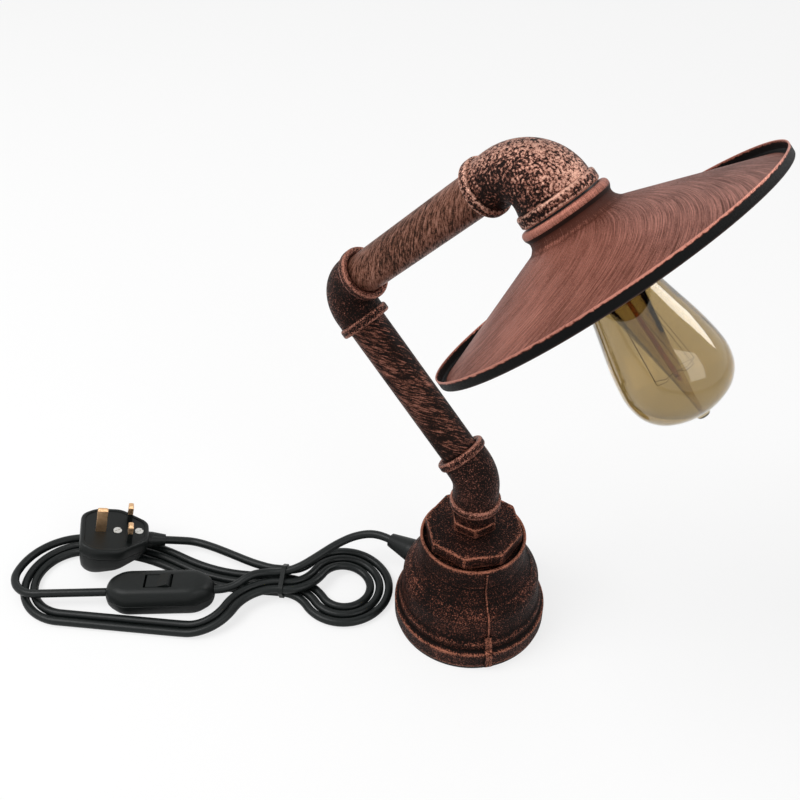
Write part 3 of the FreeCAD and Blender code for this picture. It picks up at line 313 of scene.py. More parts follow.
def lamp(name, place, target, width, height, power, gloss_only=False):
    """A soft lamp that faces a point. One for gloss alone shows only as a reflection."""
    data = bpy.data.lights.new(name, "AREA")
    data.shape = "RECTANGLE"
    data.size = width
    data.size_y = height
    data.energy = power
    piece = bpy.data.objects.new(name, data)
    piece.location = place
    piece.rotation_euler = (Vector(target) - piece.location).to_track_quat("-Z", "Y").to_euler()
    piece.visible_diffuse = not gloss_only
    scene.collection.objects.link(piece)


lamp("key_light", (-0.9, -0.9, 1.9), (-0.05, -0.03, 0.15), 1.2, 1.2, 26)
lamp("fill_light", (1.5, -0.6, 1.2), (-0.05, -0.03, 0.15), 1.0, 1.0, 7)
lamp("window", (0.59, 0.78, 1.07), (0.11, 0, 0.296), 0.42, 0.7, 6, gloss_only=True)
room = bpy.data.worlds.new("room")
scene.world = room
room.use_nodes = True
tree = room.node_tree
ambient = tree.nodes["Background"]
ambient.inputs["Color"].default_value = (0.60, 0.60, 0.60, 1)
paper = tree.nodes.new("ShaderNodeBackground")
paper.inputs["Color"].default_value = (1, 1, 1, 1)
rays = tree.nodes.new("ShaderNodeLightPath")
direct = tree.nodes.new("ShaderNodeMath")
direct.operation = "MAXIMUM"
shown = tree.nodes.new("ShaderNodeMath")
shown.operation = "MAXIMUM"
blend = tree.nodes.new("ShaderNodeMixShader")
tree.links.new(rays.outputs["Is Camera Ray"], direct.inputs[0])
tree.links.new(rays.outputs["Is Glossy Ray"], direct.inputs[1])
tree.links.new(direct.outputs[0], shown.inputs[0])
tree.links.new(rays.outputs["Is Transmission Ray"], shown.inputs[1])
tree.links.new(shown.outputs[0], blend.inputs[0])
tree.links.new(ambient.outputs[0], blend.inputs[1])
tree.links.new(paper.outputs[0], blend.inputs[2])
tree.links.new(blend.outputs[0], tree.nodes["World Output"].inputs[0])

# Base bell
# A malleable-iron reducing socket, wide end down. Its skin is black with rubbed copper on the
# grain and on every edge, and a mould rib runs down each side and widens to a lug.

MM = 0.001


def softened(corners, soft, closed):
    """An outline with rounded corners and even steps, as (radius, height, wear) in metres. The
    solid lies on its left: wear is above 0 near corners that stand out and below 0 in hollows."""
    count = len(corners)
    points = [Vector(corner) * MM for corner in corners]
    dense = []
    bends = []
    for i, corner in enumerate(points):
        if not closed and i in (0, count - 1):
            dense.append(corner)
            continue
        before = points[i - 1] - corner
        after = points[(i + 1) % count] - corner
        turn = math.pi - before.angle(after)
        side = 1 if before.x * after.y - before.y * after.x < 0 else -1
        reach = min(soft * MM, 0.4 * before.length, 0.4 * after.length)
        start = corner + before.normalized() * reach
        end = corner + after.normalized() * reach
        bends.append((len(dense) + 2, side * min(1.0, turn / 1.2)))
        for j in range(5):
            share = j / 4
            dense.append(start.lerp(corner, share).lerp(corner.lerp(end, share), share))
    even = []
    origin = {}
    last = len(dense) if closed else len(dense) - 1
    for i in range(last):
        origin[i] = len(even)
        there = dense[(i + 1) % len(dense)]
        pieces = max(1, math.ceil((there - dense[i]).length / (2.0 * MM)))
        even += [dense[i].lerp(there, j / pieces) for j in range(pieces)]
    if not closed:
        origin[last] = len(even)
        even.append(dense[-1])
    places = [0.0]
    for here, there in zip(even, even[1:]):
        places.append(places[-1] + (there - here).length)
    whole = places[-1] + ((even[0] - even[-1]).length if closed else 0)
    found = []
    for point, place in zip(even, places):
        wear = 0
        for index, strength in bends:
            away = abs(place - places[origin[index]])
            if closed:
                away = min(away, whole - away)
            wear += strength * math.exp(-(away / (1.3 * MM)) ** 2)
        found.append((point.x, point.y, wear))
    return found


def lathe(mesh, outline, place, closed, turns=96, sides=0, corner=0.0, limit=0.985):
    """Add a turned form to a mesh: round, or with this many flats and a corner at this angle."""
    wear = mesh.verts.layers.float.get("wear") or mesh.verts.layers.float.new("wear")
    outer = max(radius for radius, height, worn in outline)
    rings = []
    for radius, height, worn in outline:
        ring = []
        for i in range(turns):
            angle = 2 * math.pi * i / turns
            share = 1.0
            edge = 0.0
            if sides and radius > 0.88 * outer:
                sector = 2 * math.pi / sides
                off = (angle - math.radians(corner)) % sector - sector / 2
                flat = math.cos(sector / 2) / math.cos(off)
                share = min(flat, limit)
                edge = math.exp(-((sector / 2 - abs(off)) * radius / (1.6 * MM)) ** 2)
            local = Vector((radius * share * math.cos(angle), radius * share * math.sin(angle), height))
            vertex = mesh.verts.new(place @ local)
            vertex[wear] = max(worn, edge * 0.8) if worn > -0.2 else worn
            ring.append(vertex)
        rings.append(ring)
    pairs = list(zip(rings, rings[1:]))
    if closed:
        pairs.append((rings[-1], rings[0]))
    for low, high in pairs:
        for i in range(turns):
            j = (i + 1) % turns
            mesh.faces.new((low[i], low[j], high[j], high[i]))


def finished(mesh, name, body, surface, slot, *replaced, place=Matrix.Identity(4), crease=40):
    """Turn a built mesh into a piece that rides on a body and stands for CAD nodes."""
    bmesh.ops.remove_doubles(mesh, verts=mesh.verts, dist=1e-6)
    data = bpy.data.meshes.new(name)
    mesh.to_mesh(data)
    mesh.free()
    own = data.attributes.new("own", "FLOAT_VECTOR", "POINT")
    for vertex, record in zip(data.vertices, own.data):
        record.vector = vertex.co
    data.transform(place)
    data.shade_smooth()
    data.set_sharp_from_angle(angle=math.radians(crease))
    piece = bpy.data.objects.new(name, data)
    scene.collection.objects.link(piece)
    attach(piece, body)
    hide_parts(*replaced)
    dress(piece, surface)
    return piece


def castings(name, dark, rubbed, worn, bias, grain=1050):
    """Antique copper on a sand casting: rubbed high spots on black, brighter on edges."""
    cast = Surface(name, Specular_IOR_Level=0.06)
    grit = cast.noise(grain, 4, rough=0.62)
    folds = cast.noise(grain * 0.59, 2, rough=0.5)
    patches = cast.noise(48, 3)
    # The wear attribute also carries the elbows' crest values: a painted highlight on each crest and painted
    # shade in each throat.
    wear = cast.node("ShaderNodeAttribute", "Fac", {}, attribute_name="wear")
    veins = cast.math("ABSOLUTE", folds - 0.5) - 0.07
    high = (grit - 0.5) * 1.2 + veins * 1.1 + (patches - 0.5) * 0.34
    high = high + wear * (0.10 + patches * 0.18) + bias
    share = high.between(0.0, 0.22)
    bright = (high + wear * 0.14).between(0.14, 0.42)
    cast.set("Base Color", cast.mix(cast.mix(dark, rubbed, share), worn, bright))
    cast.set("Metallic", share * 0.62)
    cast.set("Roughness", 0.50 - share * 0.12)
    cast.relief(grit * 0.8 + veins * 1.4, 0.0008)
    return cast


base_copper = castings("base_copper", dark=(0.0045, 0.0022, 0.0016), rubbed=(0.120, 0.040, 0.027),
                       worn=(0.33, 0.125, 0.078), bias=0.0)
bell_corners = [
    (56.5, 2.0), (58.0, 3.0), (58.0, 16.0), (54.8, 17.5), (54.8, 24.0), (52.6, 27.0), (51.4, 44.0),
    (49.8, 48.6), (46.0, 53.0), (44.0, 54.2), (40.1, 60.5), (38.3, 67.5), (39.1, 68.5), (39.1, 85.4),
    (36.8, 85.4), (36.8, 80.5), (29.8, 80.5), (29.8, 62.5), (39.0, 53.0), (46.4, 44.0), (49.8, 27.0),
    (53.0, 2.0),
]
bell = bmesh.new()
lathe(bell, softened(bell_corners, 1.2, True), Matrix.Identity(4), True, turns=160)
wear_layer = bell.verts.layers.float["wear"]
for azimuth in (-44, 136):
    turned = Matrix.Rotation(math.radians(azimuth), 4, "Z")
    for half_width, top in ((0.8, 84.0), (3.4, 30.0)):
        outer = [corner for corner in softened(bell_corners[1:14], 1.0, False) if corner[1] <= top * MM]
        strip = []
        for radius, height, worn in outer:
            row = []
            for side, proud in ((-1, -1.5), (-1, 1.0), (-0.6, 1.35), (0.6, 1.35), (1, 1.0), (1, -1.5)):
                spot = Vector((radius + proud * MM, side * half_width * MM, height))
                vertex = bell.verts.new(turned @ spot)
                vertex[wear_layer] = 0.8 if proud > 1.2 else -0.4
                row.append(vertex)
            strip.append(row)
        for low, high in zip(strip, strip[1:]):
            for i in range(5):
                bell.faces.new((low[i], low[i + 1], high[i + 1], high[i]))
        bell.faces.new(reversed(strip[-1]))
finished(bell, "bell", "base", base_copper, "cast_copper", "base_bell")

# Bush and nipple
# An eight-sided bush fills the bell's mouth, sunk in a black groove, and a hexagon nipple stands
# on it under the first elbow.
bush = bmesh.new()
bush_outline = softened([(13.3, 84.7), (36.2, 84.7), (36.2, 95.0), (13.3, 95.0)], 1.3, False)
lathe(bush, bush_outline, Matrix.Identity(4), False, turns=192, sides=8, corner=21.0, limit=0.992)
bush_root = softened([(13.3, 95.0), (13.3, 67.7), (29.7, 67.7), (29.7, 84.8)], 0.5, False)[::-1]
lathe(bush, bush_root, Matrix.Identity(4), False, turns=96)
finished(bush, "octagon_bush_skin", "base", base_copper, "cast_copper", "octagon_bush", crease=50)

nipple = bmesh.new()
hexagon = softened([(13.2, 97.0), (17.3, 97.0), (17.3, 105.0), (13.2, 105.0)], 0.9, False)
lathe(nipple, hexagon, Matrix.Identity(4), False, turns=144, sides=6, corner=-55.5, limit=0.985)
barrel = softened([(10.7, 82.0), (13.2, 82.0), (13.2, 129.7), (10.7, 129.7)], 0.3, True)
lathe(nipple, barrel, Matrix.Identity(4), True)
finished(nipple, "hexagon_nipple", "base", base_copper, "cast_copper", "hex_nipple", crease=50)

# Elbows
# Beaded malleable elbows: a bent body with a raised band at each mouth. The one at the base
# bends an eighth, the middle one a quarter, and the head widens to hold the lampholder.


def leaning(origin, degrees):
    """A place whose upright axis leans towards +X by this many degrees."""
    return Matrix.Translation(origin) @ Matrix.Rotation(math.radians(degrees), 4, "Y")


def bent(mesh, corner, in_lean, out_lean, in_leg, out_leg, bend, start_r, end_r, crest_wear_and_light=0.12):
    """Add an elbow's smooth body: a leg, a bend that may grow wider, and a leg. Its crest is worn and lighter
    and its throat darker: partly rubbed wear, partly a painted highlight on the crest and painted shade in
    the throat.
    """
    wear = mesh.verts.layers.float.get("wear") or mesh.verts.layers.float.new("wear")
    turn = math.radians(abs(out_lean - in_lean))
    side = 1 if out_lean > in_lean else -1
    reach = bend * math.tan(turn / 2)
    stations = [(-in_leg, 0, 0, start_r)]
    steps = 28
    for i in range(steps + 1):
        angle = turn * i / steps
        share = i / steps
        grow = share * share * (3 - 2 * share)
        radius = start_r + (end_r - start_r) * grow
        stations.append((-reach + bend * math.sin(angle), bend * (1 - math.cos(angle)), angle, radius))
    stations.append((math.cos(turn) * out_leg, math.sin(turn) * out_leg, turn, end_r))
    place = leaning(corner, in_lean)
    rings = []
    for along, across, angle, radius in stations:
        ring = []
        for j in range(72):
            around = 2 * math.pi * j / 72
            out = radius * math.cos(around)
            local = Vector((side * (across + out * math.cos(angle)), radius * math.sin(around),
                            along - out * math.sin(angle)))
            vertex = mesh.verts.new(place @ (local * MM))
            # Crest value: rubbed wear, plus a painted highlight on the upward-facing crest and painted shade
            # in the throat below.
            vertex[wear] = -crest_wear_and_light * math.cos(around)
            ring.append(vertex)
        rings.append(ring)
    for low, high in zip(rings, rings[1:]):
        for j in range(72):
            m = (j + 1) % 72
            mesh.faces.new((low[j], low[m], high[m], high[j]))


def banded_end(mesh, place, leg, width, body_r, band_r, bore_r, depth):
    """Add a fitting's raised band, with its bevelled mouth and the hole behind it."""
    foot = leg - width
    corners = [(body_r - 1.0, foot - 0.4), (body_r, foot - 0.4), (band_r - 0.6, foot), (band_r, foot + 1.2),
               (band_r, leg - 1.0), (band_r - 0.8, leg), (bore_r + 1.6, leg), (bore_r, leg - 1.6),
               (bore_r, leg - depth)]
    lathe(mesh, softened(corners, 0.7, False), place, False)


fitting_copper = castings("fitting_copper", dark=(0.006, 0.0030, 0.0022), rubbed=(0.130, 0.047, 0.034),
                          worn=(0.36, 0.155, 0.110), bias=0.0)
LOWER_LEAN = -45
UPPER_LEAN = 45
HEAD_LEAN = 135
E1 = Vector((0, 0, 0.1435))
E2 = leaning(E1, LOWER_LEAN) @ Vector((0, 0, 0.160))
E3 = leaning(E2, UPPER_LEAN) @ Vector((0, 0, 0.186))

slow = bmesh.new()
bent(slow, E1, 0, LOWER_LEAN, 20.8, 16.0, 26.0, 16.5, 16.5)
banded_end(slow, leaning(E1, 180), 26.8, 6.0, 16.5, 18.4, 13.25, 9.0)
banded_end(slow, leaning(E1, LOWER_LEAN), 22.0, 6.0, 16.5, 18.4, 13.5, 9.0)
finished(slow, "eighth_bend", "lower_arm", fitting_copper, "cast_copper", "elbow_45")

square = bmesh.new()
bent(square, E2, LOWER_LEAN, UPPER_LEAN, 23.3, 23.3, 18.0, 16.5, 16.5)
banded_end(square, leaning(E2, LOWER_LEAN + 180), 29.3, 6.0, 16.5, 18.4, 13.5, 9.0)
banded_end(square, leaning(E2, UPPER_LEAN), 29.3, 6.0, 16.5, 18.4, 13.5, 9.0)
finished(square, "quarter_bend", "upper_arm", fitting_copper, "cast_copper", "elbow_90")

head_copper = castings("head_copper", dark=(0.008, 0.0036, 0.0026), rubbed=(0.24, 0.095, 0.067),
                       worn=(0.54, 0.300, 0.225), bias=0.02, grain=640)
head = bmesh.new()
# The head's strong crest value paints a highlight along its top and shade in its throat, over rubbed wear.
bent(head, E3, UPPER_LEAN, HEAD_LEAN, 32.5, 24.2, 24.0, 16.5, 22.6, crest_wear_and_light=0.6)
banded_end(head, leaning(E3, UPPER_LEAN + 180), 38.5, 6.0, 16.5, 18.4, 13.5, 9.0)
banded_end(head, leaning(E3, HEAD_LEAN), 31.2, 7.2, 22.6, 24.7, 20.8, 11.0)
finished(head, "head_elbow", "head", head_copper, "cast_copper", "reducing_elbow")

# Pipes
# Two lengths of three-quarter inch steel pipe, screwed into the fittings at both ends. Copper is
# brushed over black, and the strokes wind round the pipe.


def brushed(name, dark, rubbed, pale, wind, fine, coarse, cover, gleam, blacken_lip_and_shade_gutter=False):
    """Antique copper brushed over black: strokes follow a helix or a spiral."""
    coat = Surface(name, Specular_IOR_Level=0.06)
    x, y, z = coat.place()
    bare_black_and_shade, strokes = wind(coat, x, y, z)
    hair = coat.noise(fine, 3, strokes, 0.6)
    swathe = coat.noise(coarse, 3, strokes, 0.5)
    speck = coat.noise(1300, 2)
    cloud = coat.noise(16, 3)
    wear = coat.node("ShaderNodeAttribute", "Fac", {}, attribute_name="wear")
    height = hair * 0.72 + swathe * 0.28 + (speck - 0.5) * 0.30 + (cloud - 0.5) * 0.34
    height = height + wear * 0.16 - bare_black_and_shade
    share = height.between(*cover)
    light = (height + (hair - 0.5) * 0.4).between(*gleam)
    colour = coat.mix(coat.mix(dark, rubbed, share), pale, light)
    # On the shade this blackens the lip's outer face, a black finish, and the gutter inside the lip, which is
    # painted shade.
    if blacken_lip_and_shade_gutter:
        colour = coat.mix(colour, (0.004, 0.004, 0.004), bare_black_and_shade.between(0.4, 0.8))
    coat.set("Base Color", colour)
    coat.set("Metallic", share * 0.6)
    coat.set("Roughness", 0.50 - share * 0.10)
    coat.relief(hair + speck * 0.5, 0.00022)
    return coat


def helix(coat, x, y, z):
    """Strokes that wind about the pipe's own axis."""
    angle = z * -62.0
    cosine = coat.math("COSINE", angle)
    sine = coat.math("SINE", angle)
    return 0.0, coat.vector(x * cosine + y * sine, y * cosine - x * sine, z * 0.28)


upper_copper = brushed("upper_pipe_copper", dark=(0.020, 0.008, 0.004), rubbed=(0.175, 0.072, 0.047),
                       pale=(0.36, 0.185, 0.135), wind=helix, fine=1000, coarse=330, cover=(0.40, 0.55),
                       gleam=(0.49, 0.82))
lower_copper = brushed("lower_pipe_copper", dark=(0.008, 0.0036, 0.0026), rubbed=(0.125, 0.047, 0.032),
                       pale=(0.30, 0.130, 0.095), wind=helix, fine=800, coarse=230, cover=(0.48, 0.63),
                       gleam=(0.55, 0.88))
for name, node, body, origin, degrees, low, high, pipe_copper in (
    ("lower_pipe", "pipe_lower", "lower_arm", E1, LOWER_LEAN, 22.3, 130.4, lower_copper),
    ("upper_pipe", "pipe_upper", "upper_arm", E2, UPPER_LEAN, 29.6, 147.2, upper_copper),
):
    length = bmesh.new()
    hidden = 8.0
    wall = [(10.7, low - hidden), (13.45, low - hidden), (13.45, high + hidden), (10.7, high + hidden)]
    outline = softened(wall, 0.4, True)
    lathe(length, [(r, z, min(worn, 0)) for r, z, worn in outline], Matrix.Identity(4), True)
    finished(length, name, body, pipe_copper, "pipe_copper", node, place=leaning(origin, degrees))

# Shade
# One spun sheet with a bead under its clamping ring, a short neck, a straight cone and a lip
# turned up round the rim. The outside is brushed in a swirl and the inside is dark. The lip's outer
# face is black, and the gutter inside the lip is painted near-black as shade.


def swirl(coat, x, y, z):
    """Strokes that sweep outwards in a spiral about the shade's axis."""
    radius = coat.math("SQRT", x * x + y * y)
    turn = radius * 15.0
    cosine = coat.math("COSINE", turn)
    sine = coat.math("SINE", turn)
    across = (x * cosine + y * sine) / radius
    along = (y * cosine - x * sine) / radius
    ragged = (coat.noise(300, 3) - 0.5) * 0.0022
    # Near-black mask: on the lip's outer face it is a black finish, on the gutter floor and the lip's inner
    # face it is painted shade.
    lip_black_and_gutter_shade = radius.between(0.1060, 0.1072) * (z + ragged).between(0.0702, 0.0712)
    neck = (z + ragged * 2.0).between(0.0355, 0.0385) * (1 - (z + ragged * 2.0).between(0.0420, 0.0480))
    strokes = coat.vector(across * 0.19, along * 0.19, radius * 0.045)
    return lip_black_and_gutter_shade + neck * 0.16, strokes


shade_copper = brushed("shade_copper", dark=(0.070, 0.022, 0.014), rubbed=(0.185, 0.062, 0.042),
                       pale=(0.47, 0.195, 0.145), wind=swirl, fine=1500, coarse=500, cover=(0.38, 0.54),
                       gleam=(0.48, 0.72), blacken_lip_and_shade_gutter=True)
shade_inside = Surface("shade_inside", Metallic=0.3, Specular_IOR_Level=0.2)
cloud = shade_inside.noise(60, 4)
shade_inside.set("Base Color", shade_inside.mix((0.012, 0.007, 0.006), (0.034, 0.016, 0.012), cloud))
shade_inside.set("Roughness", 0.45 + cloud * 0.15)

spun = bmesh.new()
shade_corners = [
    (19.6, 35.5), (24.9, 36.5), (24.9, 39.5), (25.6, 43.4), (35.7, 49.2), (106.7, 76.0), (110.8, 76.0),
    (110.8, 69.4), (110.0, 69.4), (109.8, 75.0), (107.0, 75.0), (36.0, 48.0), (29.0, 45.4), (26.4, 42.4),
    (25.8, 39.4), (27.4, 36.6), (27.4, 34.0), (26.2, 32.4), (23.2, 32.2), (22.6, 34.5), (19.6, 34.5),
]
lathe(spun, softened(shade_corners[::-1], 2.6, True), Matrix.Identity(4), True, turns=192)
shade = finished(spun, "shade_sheet", "head", shade_copper, "shade_copper", "shade",
                 place=leaning(E3, HEAD_LEAN), crease=60)
shade.data.materials.append(shade_inside.material)
upright = leaning(E3, HEAD_LEAN).inverted()
for face in shade.data.polygons:
    facing = upright.to_3x3() @ face.normal
    middle = upright @ face.center
    if facing.z > 0.3 and middle.z > 0.0360:
        face.material_index = 1

# Lampholder and shade ring
# Black moulded parts under the head elbow: a collar, a clamping ring and the holder's skirt. The
# small fittings of the lamp, its switch and its plug take their plastic, brass or steel here too.
black_plastic = Surface("black_plastic", Specular_IOR_Level=0.2)
grain = black_plastic.noise(900, 3)
handling = black_plastic.noise(60, 2)
tone = black_plastic.mix((0.0035, 0.0045, 0.0043), (0.0105, 0.0125, 0.0120), grain)
black_plastic.set("Base Color", tone)
black_plastic.set("Roughness", 0.24 + grain * 0.14 + handling * 0.16)
black_plastic.relief(grain, 0.00006)
for node in ("holder_collar", "holder_shell", "shade_ring", "grip_nut", "cap_insulator", "plug_boot",
             "cord_grip", "cord_tie", "rocker", "pin_sleeves", "base_pad", "flex_base", "flex_lower",
             "flex_upper", "flex_head"):
    dress(nodes[node], black_plastic)
brass = Surface("brass", Metallic=1.0)
scuff = brass.noise(400, 4)
brass.set("Base Color", brass.mix((0.58, 0.34, 0.17), (0.80, 0.54, 0.32), scuff))
brass.set("Roughness", 0.26 + scuff * 0.22)
for node in ("screw_shell", "centre_contact", "cap_contact", "switch_terminals"):
    dress(nodes[node], brass)
steel = Surface("steel", Metallic=1.0)
scuff = steel.noise(500, 3)
steel.set("Base Color", steel.mix((0.45, 0.45, 0.43), (0.70, 0.69, 0.66), scuff))
steel.set("Roughness", 0.25 + scuff * 0.2)
for node in ("switch_screws", "plug_screws", "bulb_cap"):
    dress(nodes[node], steel)
porcelain = Surface("porcelain")
glaze = porcelain.noise(200, 3)
porcelain.set("Base Color", porcelain.mix((0.74, 0.72, 0.66), (0.82, 0.80, 0.76), glaze))
porcelain.set("Roughness", 0.2 + glaze * 0.1)
for node in ("holder_insert", "plug_fuse"):
    dress(nodes[node], porcelain)

# Bulb
# A long pear of amber glass with a seal at its tip, screwed into the holder. A glass stem inside
# carries the fine wires, which are strung in a cage.


def flowing(points, steps):
    """A smooth outline through these (radius, height) points, in the same unit."""
    found = []
    for i in range(len(points) - 1):
        a = Vector(points[max(0, i - 1)])
        b = Vector(points[i])
        c = Vector(points[i + 1])
        d = Vector(points[min(len(points) - 1, i + 2)])
        for j in range(steps):
            t = j / steps
            square = 2 * a - 5 * b + 4 * c - d
            cube = 3 * b - a - 3 * c + d
            found.append(0.5 * ((2 * b) + (c - a) * t + square * t * t + cube * t ** 3))
    found.append(Vector(points[-1]))
    return found


def glassy(name, tint, rough, ior):
    """Thin tinted glass: weak bending of what is behind it, and a clear coat for its reflections."""
    glass = Surface(name, Transmission_Weight=1.0, IOR=ior, Roughness=rough, Coat_Weight=1.0,
                    Coat_IOR=1.5, Coat_Roughness=0.0)
    film = glass.noise(30, 2)
    glass.set("Base Color", glass.mix(tint, tuple(min(1.0, part * 1.05) for part in tint), film))
    return glass


amber = glassy("amber_glass", (0.57, 0.470, 0.285), 0.0, 1.12)
outside = flowing([(15.5, 57.5), (16.6, 64.0), (19.3, 82.0), (23.8, 101.0), (28.8, 121.0), (31.6, 137.0),
                   (31.9, 146.5), (29.6, 156.0), (24.0, 163.5), (15.5, 168.4), (8.0, 170.2), (5.0, 171.2),
                   (4.3, 172.8), (3.2, 174.4), (0.02, 175.1)], 6)
inside = flowing([(14.6, 57.5), (15.7, 64.0), (18.4, 82.0), (22.9, 101.0), (27.9, 121.0), (30.7, 137.0),
                  (31.0, 146.5), (28.7, 155.4), (23.3, 162.6), (15.0, 167.4), (7.5, 169.4),
                  (0.02, 170.2)], 6)
pear = bmesh.new()
lathe(pear, [(p.x * MM, p.y * MM, 0) for p in outside], Matrix.Identity(4), False)
lathe(pear, [(p.x * MM, p.y * MM, 0) for p in reversed(inside)], Matrix.Identity(4), False)
bmesh.ops.remove_doubles(pear, verts=pear.verts, dist=0.00003)
bmesh.ops.bridge_loops(pear, edges=[edge for edge in pear.edges if edge.is_boundary])
bmesh.ops.recalc_face_normals(pear, faces=pear.faces)
finished(pear, "bulb_envelope", "bulb", amber, "amber_glass", "bulb_glass",
         place=leaning(E3, HEAD_LEAN), crease=80)

stem_glass = glassy("stem_glass", (0.56, 0.20, 0.075), 0.12, 1.3)
stem = bmesh.new()
stem_line = flowing([(0.02, 57.6), (14.0, 57.6), (7.5, 63.0), (4.6, 72.0), (3.4, 84.0), (1.2, 87.5),
                     (1.0, 100.0), (1.0, 145.0), (0.02, 146.0)], 5)
lathe(stem, [(max(0.02, p.x) * MM, p.y * MM, 0) for p in stem_line], Matrix.Identity(4), False, turns=32)
finished(stem, "bulb_stem_glass", "bulb", stem_glass, "stem_glass", "bulb_stem", place=leaning(E3, HEAD_LEAN))


def wires(name, runs, radius, surface, slot, *replaced):
    """Fine wires in the bulb, each led by its own points, in millimetres down the shade's axis."""
    data = bpy.data.curves.new(name, "CURVE")
    data.dimensions = "3D"
    data.bevel_depth = 1
    data.bevel_resolution = 2
    for run in runs:
        line = data.splines.new("POLY")
        line.points.add(len(run) - 1)
        for point, place in zip(line.points, run):
            point.co = (*(Vector(place) * MM), 1)
            point.radius = radius * MM
    piece = bpy.data.objects.new(name, data)
    piece.matrix_world = leaning(E3, HEAD_LEAN)
    scene.collection.objects.link(piece)
    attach(piece, "bulb")
    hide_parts(*replaced)
    dress(piece, surface)


wire = Surface("wire", Metallic=0.8)
tone = wire.noise(700, 3)
wire.set("Base Color", wire.mix((0.055, 0.030, 0.018), (0.13, 0.075, 0.045), tone))
wire.set("Roughness", 0.35 + tone * 0.2)
spokes = []
cage = []
for i in range(6):
    angle = math.pi * i / 3
    here = (math.cos(angle), math.sin(angle))
    spokes.append([(1.5 * here[0], 1.5 * here[1], 86.0), (6.5 * here[0], 6.5 * here[1], 86.0)])
    spokes.append([(0.9 * here[0], 0.9 * here[1], 143.0), (6.0 * here[0], 6.0 * here[1], 144.8),
                   (11.0 * here[0], 11.0 * here[1], 143.4)])
for i in range(6):
    angle = math.pi * i / 3
    after = angle + math.pi / 3
    top = (6.5 * math.cos(angle), 6.5 * math.sin(angle), 86.0)
    low = (11.0 * math.cos(angle), 11.0 * math.sin(angle), 143.4)
    level = 143.4 if i % 2 else 86.0
    reach = 11.0 if i % 2 else 6.5
    cage.append([top, low])
    start = (reach * math.cos(angle), reach * math.sin(angle), level)
    cage.append([start, (reach * math.cos(after), reach * math.sin(after), level)])
wires("support_wires", spokes, 0.14, wire, "filament_wire", "filament_supports")
wires("filament_cage", cage, 0.10, wire, "filament_wire", "filament")

# In-line switch
# A slim black moulded case in two halves that meet in a fine groove, with tapered ends and a well
# for the rocker. Two screws from below hold it together.


def moved_in(corners, inset):
    """The corners of a convex outline, every side moved in by this much."""
    sides = []
    for corner, after in zip(corners, corners[1:] + corners[:1]):
        way = (Vector(after) - Vector(corner)).normalized()
        sides.append((Vector(corner) + Vector((-way.y, way.x)) * inset, way))
    found = []
    for (start, way), (onward, turned) in zip(sides[-1:] + sides[:-1], sides):
        span = onward - start
        reach = (span.x * turned.y - span.y * turned.x) / (way.x * turned.y - way.y * turned.x)
        found.append(start + way * reach)
    return found


def eased(corners, soft):
    """Points round an outline whose corners are rounded off over this much of their sides."""
    found = []
    for i, corner in enumerate(corners):
        before = corners[i - 1] - corner
        after = corners[(i + 1) % len(corners)] - corner
        reach = min(soft, 0.45 * before.length, 0.45 * after.length)
        start = corner + before.normalized() * reach
        end = corner + after.normalized() * reach
        for j in range(9):
            share = j / 8
            found.append(start.lerp(corner, share).lerp(corner.lerp(end, share), share))
    return found


def moulded(mesh, corners, soft, layers, place, level=lambda x, height: height):
    """Add a moulding's walls through layers of (inset, height) in millimetres, and return its two
    end rings."""
    rings = []
    for inset, height in layers:
        ring = []
        for point in eased(moved_in(corners, inset), soft):
            local = Vector((point.x, point.y, level(point.x, height)))
            ring.append(mesh.verts.new(place @ (local * MM)))
        rings.append(ring)
    for low, high in zip(rings, rings[1:]):
        for i in range(len(low)):
            j = (i + 1) % len(low)
            mesh.faces.new((low[i], low[j], high[j], high[i]))
    return rings[0], rings[-1]


def pitted(mesh, rim, pits, height, depth, place):
    """Close a rim with a face that has pits, each an outline sunk by this depth."""
    edges = [mesh.edges.get((rim[i], rim[i - 1])) for i in range(len(rim))]
    for pit in pits:
        top = [mesh.verts.new(place @ (Vector((x, y, height)) * MM)) for x, y in pit]
        low = [mesh.verts.new(place @ (Vector((x, y, height + depth)) * MM)) for x, y in pit]
        for i in range(len(pit)):
            mesh.faces.new((top[i - 1], top[i], low[i], low[i - 1]))
        mesh.faces.new(low)
        edges += [mesh.edges.get((top[i], top[i - 1])) for i in range(len(top))]
    bmesh.ops.triangle_fill(mesh, edges=edges, use_beauty=True)


def round_pit(x, y, radius):
    """The outline of a screw's recess."""
    angles = [2 * math.pi * i / 24 for i in range(24)]
    return [(x + radius * math.cos(angle), y + radius * math.sin(angle)) for angle in angles]


def slender(x, height):
    """The switch's thickness shrinks towards its ends."""
    past = max(0.0, abs(x) - 28.4) / 14.0
    return 12.0 + (height - 12.0) * (1 - past * past / 3.0)


switch_place = Matrix.Translation(on_floor(*SWITCH_AT, 0))
switch_place = switch_place @ Matrix.Rotation(HEADING + SWITCH_TURN, 4, "Z")
switch_plan = [(-42.4, -7.5), (-28.4, -15), (28.4, -15), (42.4, -7.5), (42.4, 7.5), (28.4, 15), (-28.4, 15),
               (-42.4, 7.5)]
switch_layers = [(6.0, 0), (2.0, 0.2), (0.8, 1.3), (0.1, 4.0), (0, 10.5), (0.5, 10.8), (0.5, 11.2),
                 (0, 11.5), (0.2, 15.0), (0.9, 19.0), (2.2, 21.8), (4.2, 23.4), (7.4, 24.0)]
case = bmesh.new()
bottom, top = moulded(case, switch_plan, 5.5, switch_layers, switch_place, slender)
pitted(case, bottom, [round_pit(-25.0, 0, 3.1), round_pit(25.0, 0, 3.1)], 0, 2.9, switch_place)
rocker_well = [(-11.1, -6.6), (11.1, -6.6), (11.1, 6.6), (-11.1, 6.6)]
pitted(case, top, [rocker_well], 24.0, -11.0, switch_place)
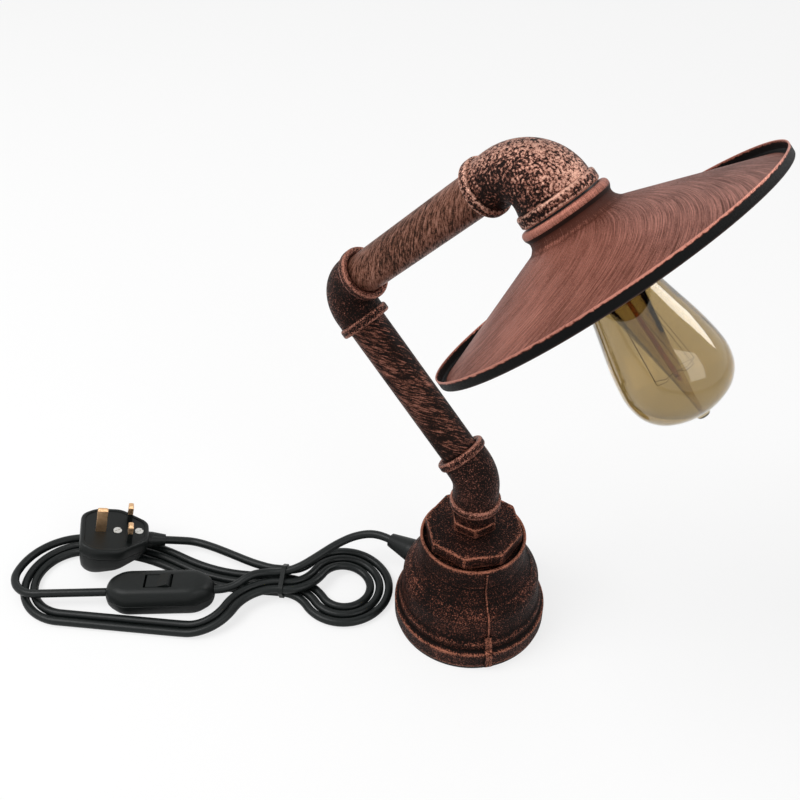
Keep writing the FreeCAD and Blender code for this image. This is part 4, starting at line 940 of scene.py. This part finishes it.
bmesh.ops.recalc_face_normals(case, faces=case.faces)
switch_case = finished(case, "switch_case", "base", black_plastic, "black_plastic", "switch_base",
                       "switch_cover", crease=35)

# Mains plug
# A three-pin fused plug: a face plate with a raised rim round the pins, and a cover behind it
# that thins towards the cord. The pins are brass, the two smaller ones sleeved half-way.


def deepening(x, height):
    """Below the parting line the cover gets shallower towards the cord."""
    depth = 31.0 - 11.0 * max(0.0, x + 17.0) / 44.0
    return height if height > -10.4 else -10.4 + (height + 10.4) * (depth - 10.4) / 20.6


plug_plan = [(-27, -18), (-15, -25), (5, -25), (27, -11), (27, 11), (5, 25), (-15, 25), (-27, 18)]
plug_layers = [(9.0, -31.0), (5.5, -30.6), (3.4, -29.0), (2.2, -26.5), (1.3, -21.0), (0.7, -14.0),
               (0.5, -11.2), (1.0, -10.9), (1.0, -10.3), (0.2, -10.0), (0, -9.0), (0, -3.4), (0.3, -1.6),
               (1.0, -0.5), (1.9, 0), (2.8, 0), (3.4, -0.25), (3.7, -0.9)]
body = bmesh.new()
bottom, top = moulded(body, plug_plan, 5.0, plug_layers, plug_place, deepening)
body.faces.new(bottom)
pitted(body, top, [round_pit(2.0, 0, 3.6), round_pit(19.0, 0, 3.6)], -0.9, -1.6, plug_place)
bmesh.ops.recalc_face_normals(body, faces=body.faces)
plug_body = finished(body, "plug_body", "base", black_plastic, "black_plastic", "plug_base", "plug_cover",
                     crease=35)
for node, x, y, along, across, length, waist in (
    ("earth_pin", -11.1, 0, 8.0, 4.0, 22.7, 0),
    ("line_pin", 11.1, 11.1, 4.0, 6.35, 17.7, 0.6),
    ("neutral_pin", 11.1, -11.1, 4.0, 6.35, 17.7, 0.6),
):
    blade = bmesh.new()
    section = [(x - along / 2, y - across / 2), (x + along / 2, y - across / 2),
               (x + along / 2, y + across / 2), (x - along / 2, y + across / 2)]
    steps = [(waist, -2.0), (waist, 9.4), (0, 9.5), (0, length - 1.6), (0.25, length - 1.2),
             (1.0, length - 0.2), (1.25, length)]
    low, high = moulded(blade, section, 0.35, steps, plug_place)
    blade.faces.new(high)
    blade.faces.new(low)
    bmesh.ops.recalc_face_normals(blade, faces=blade.faces)
    finished(blade, node + "_blade", "base", brass, "brass", node, crease=25)

on_floor(*switch_point(-SWITCH_HALF))

bpy.context.view_layer.update()
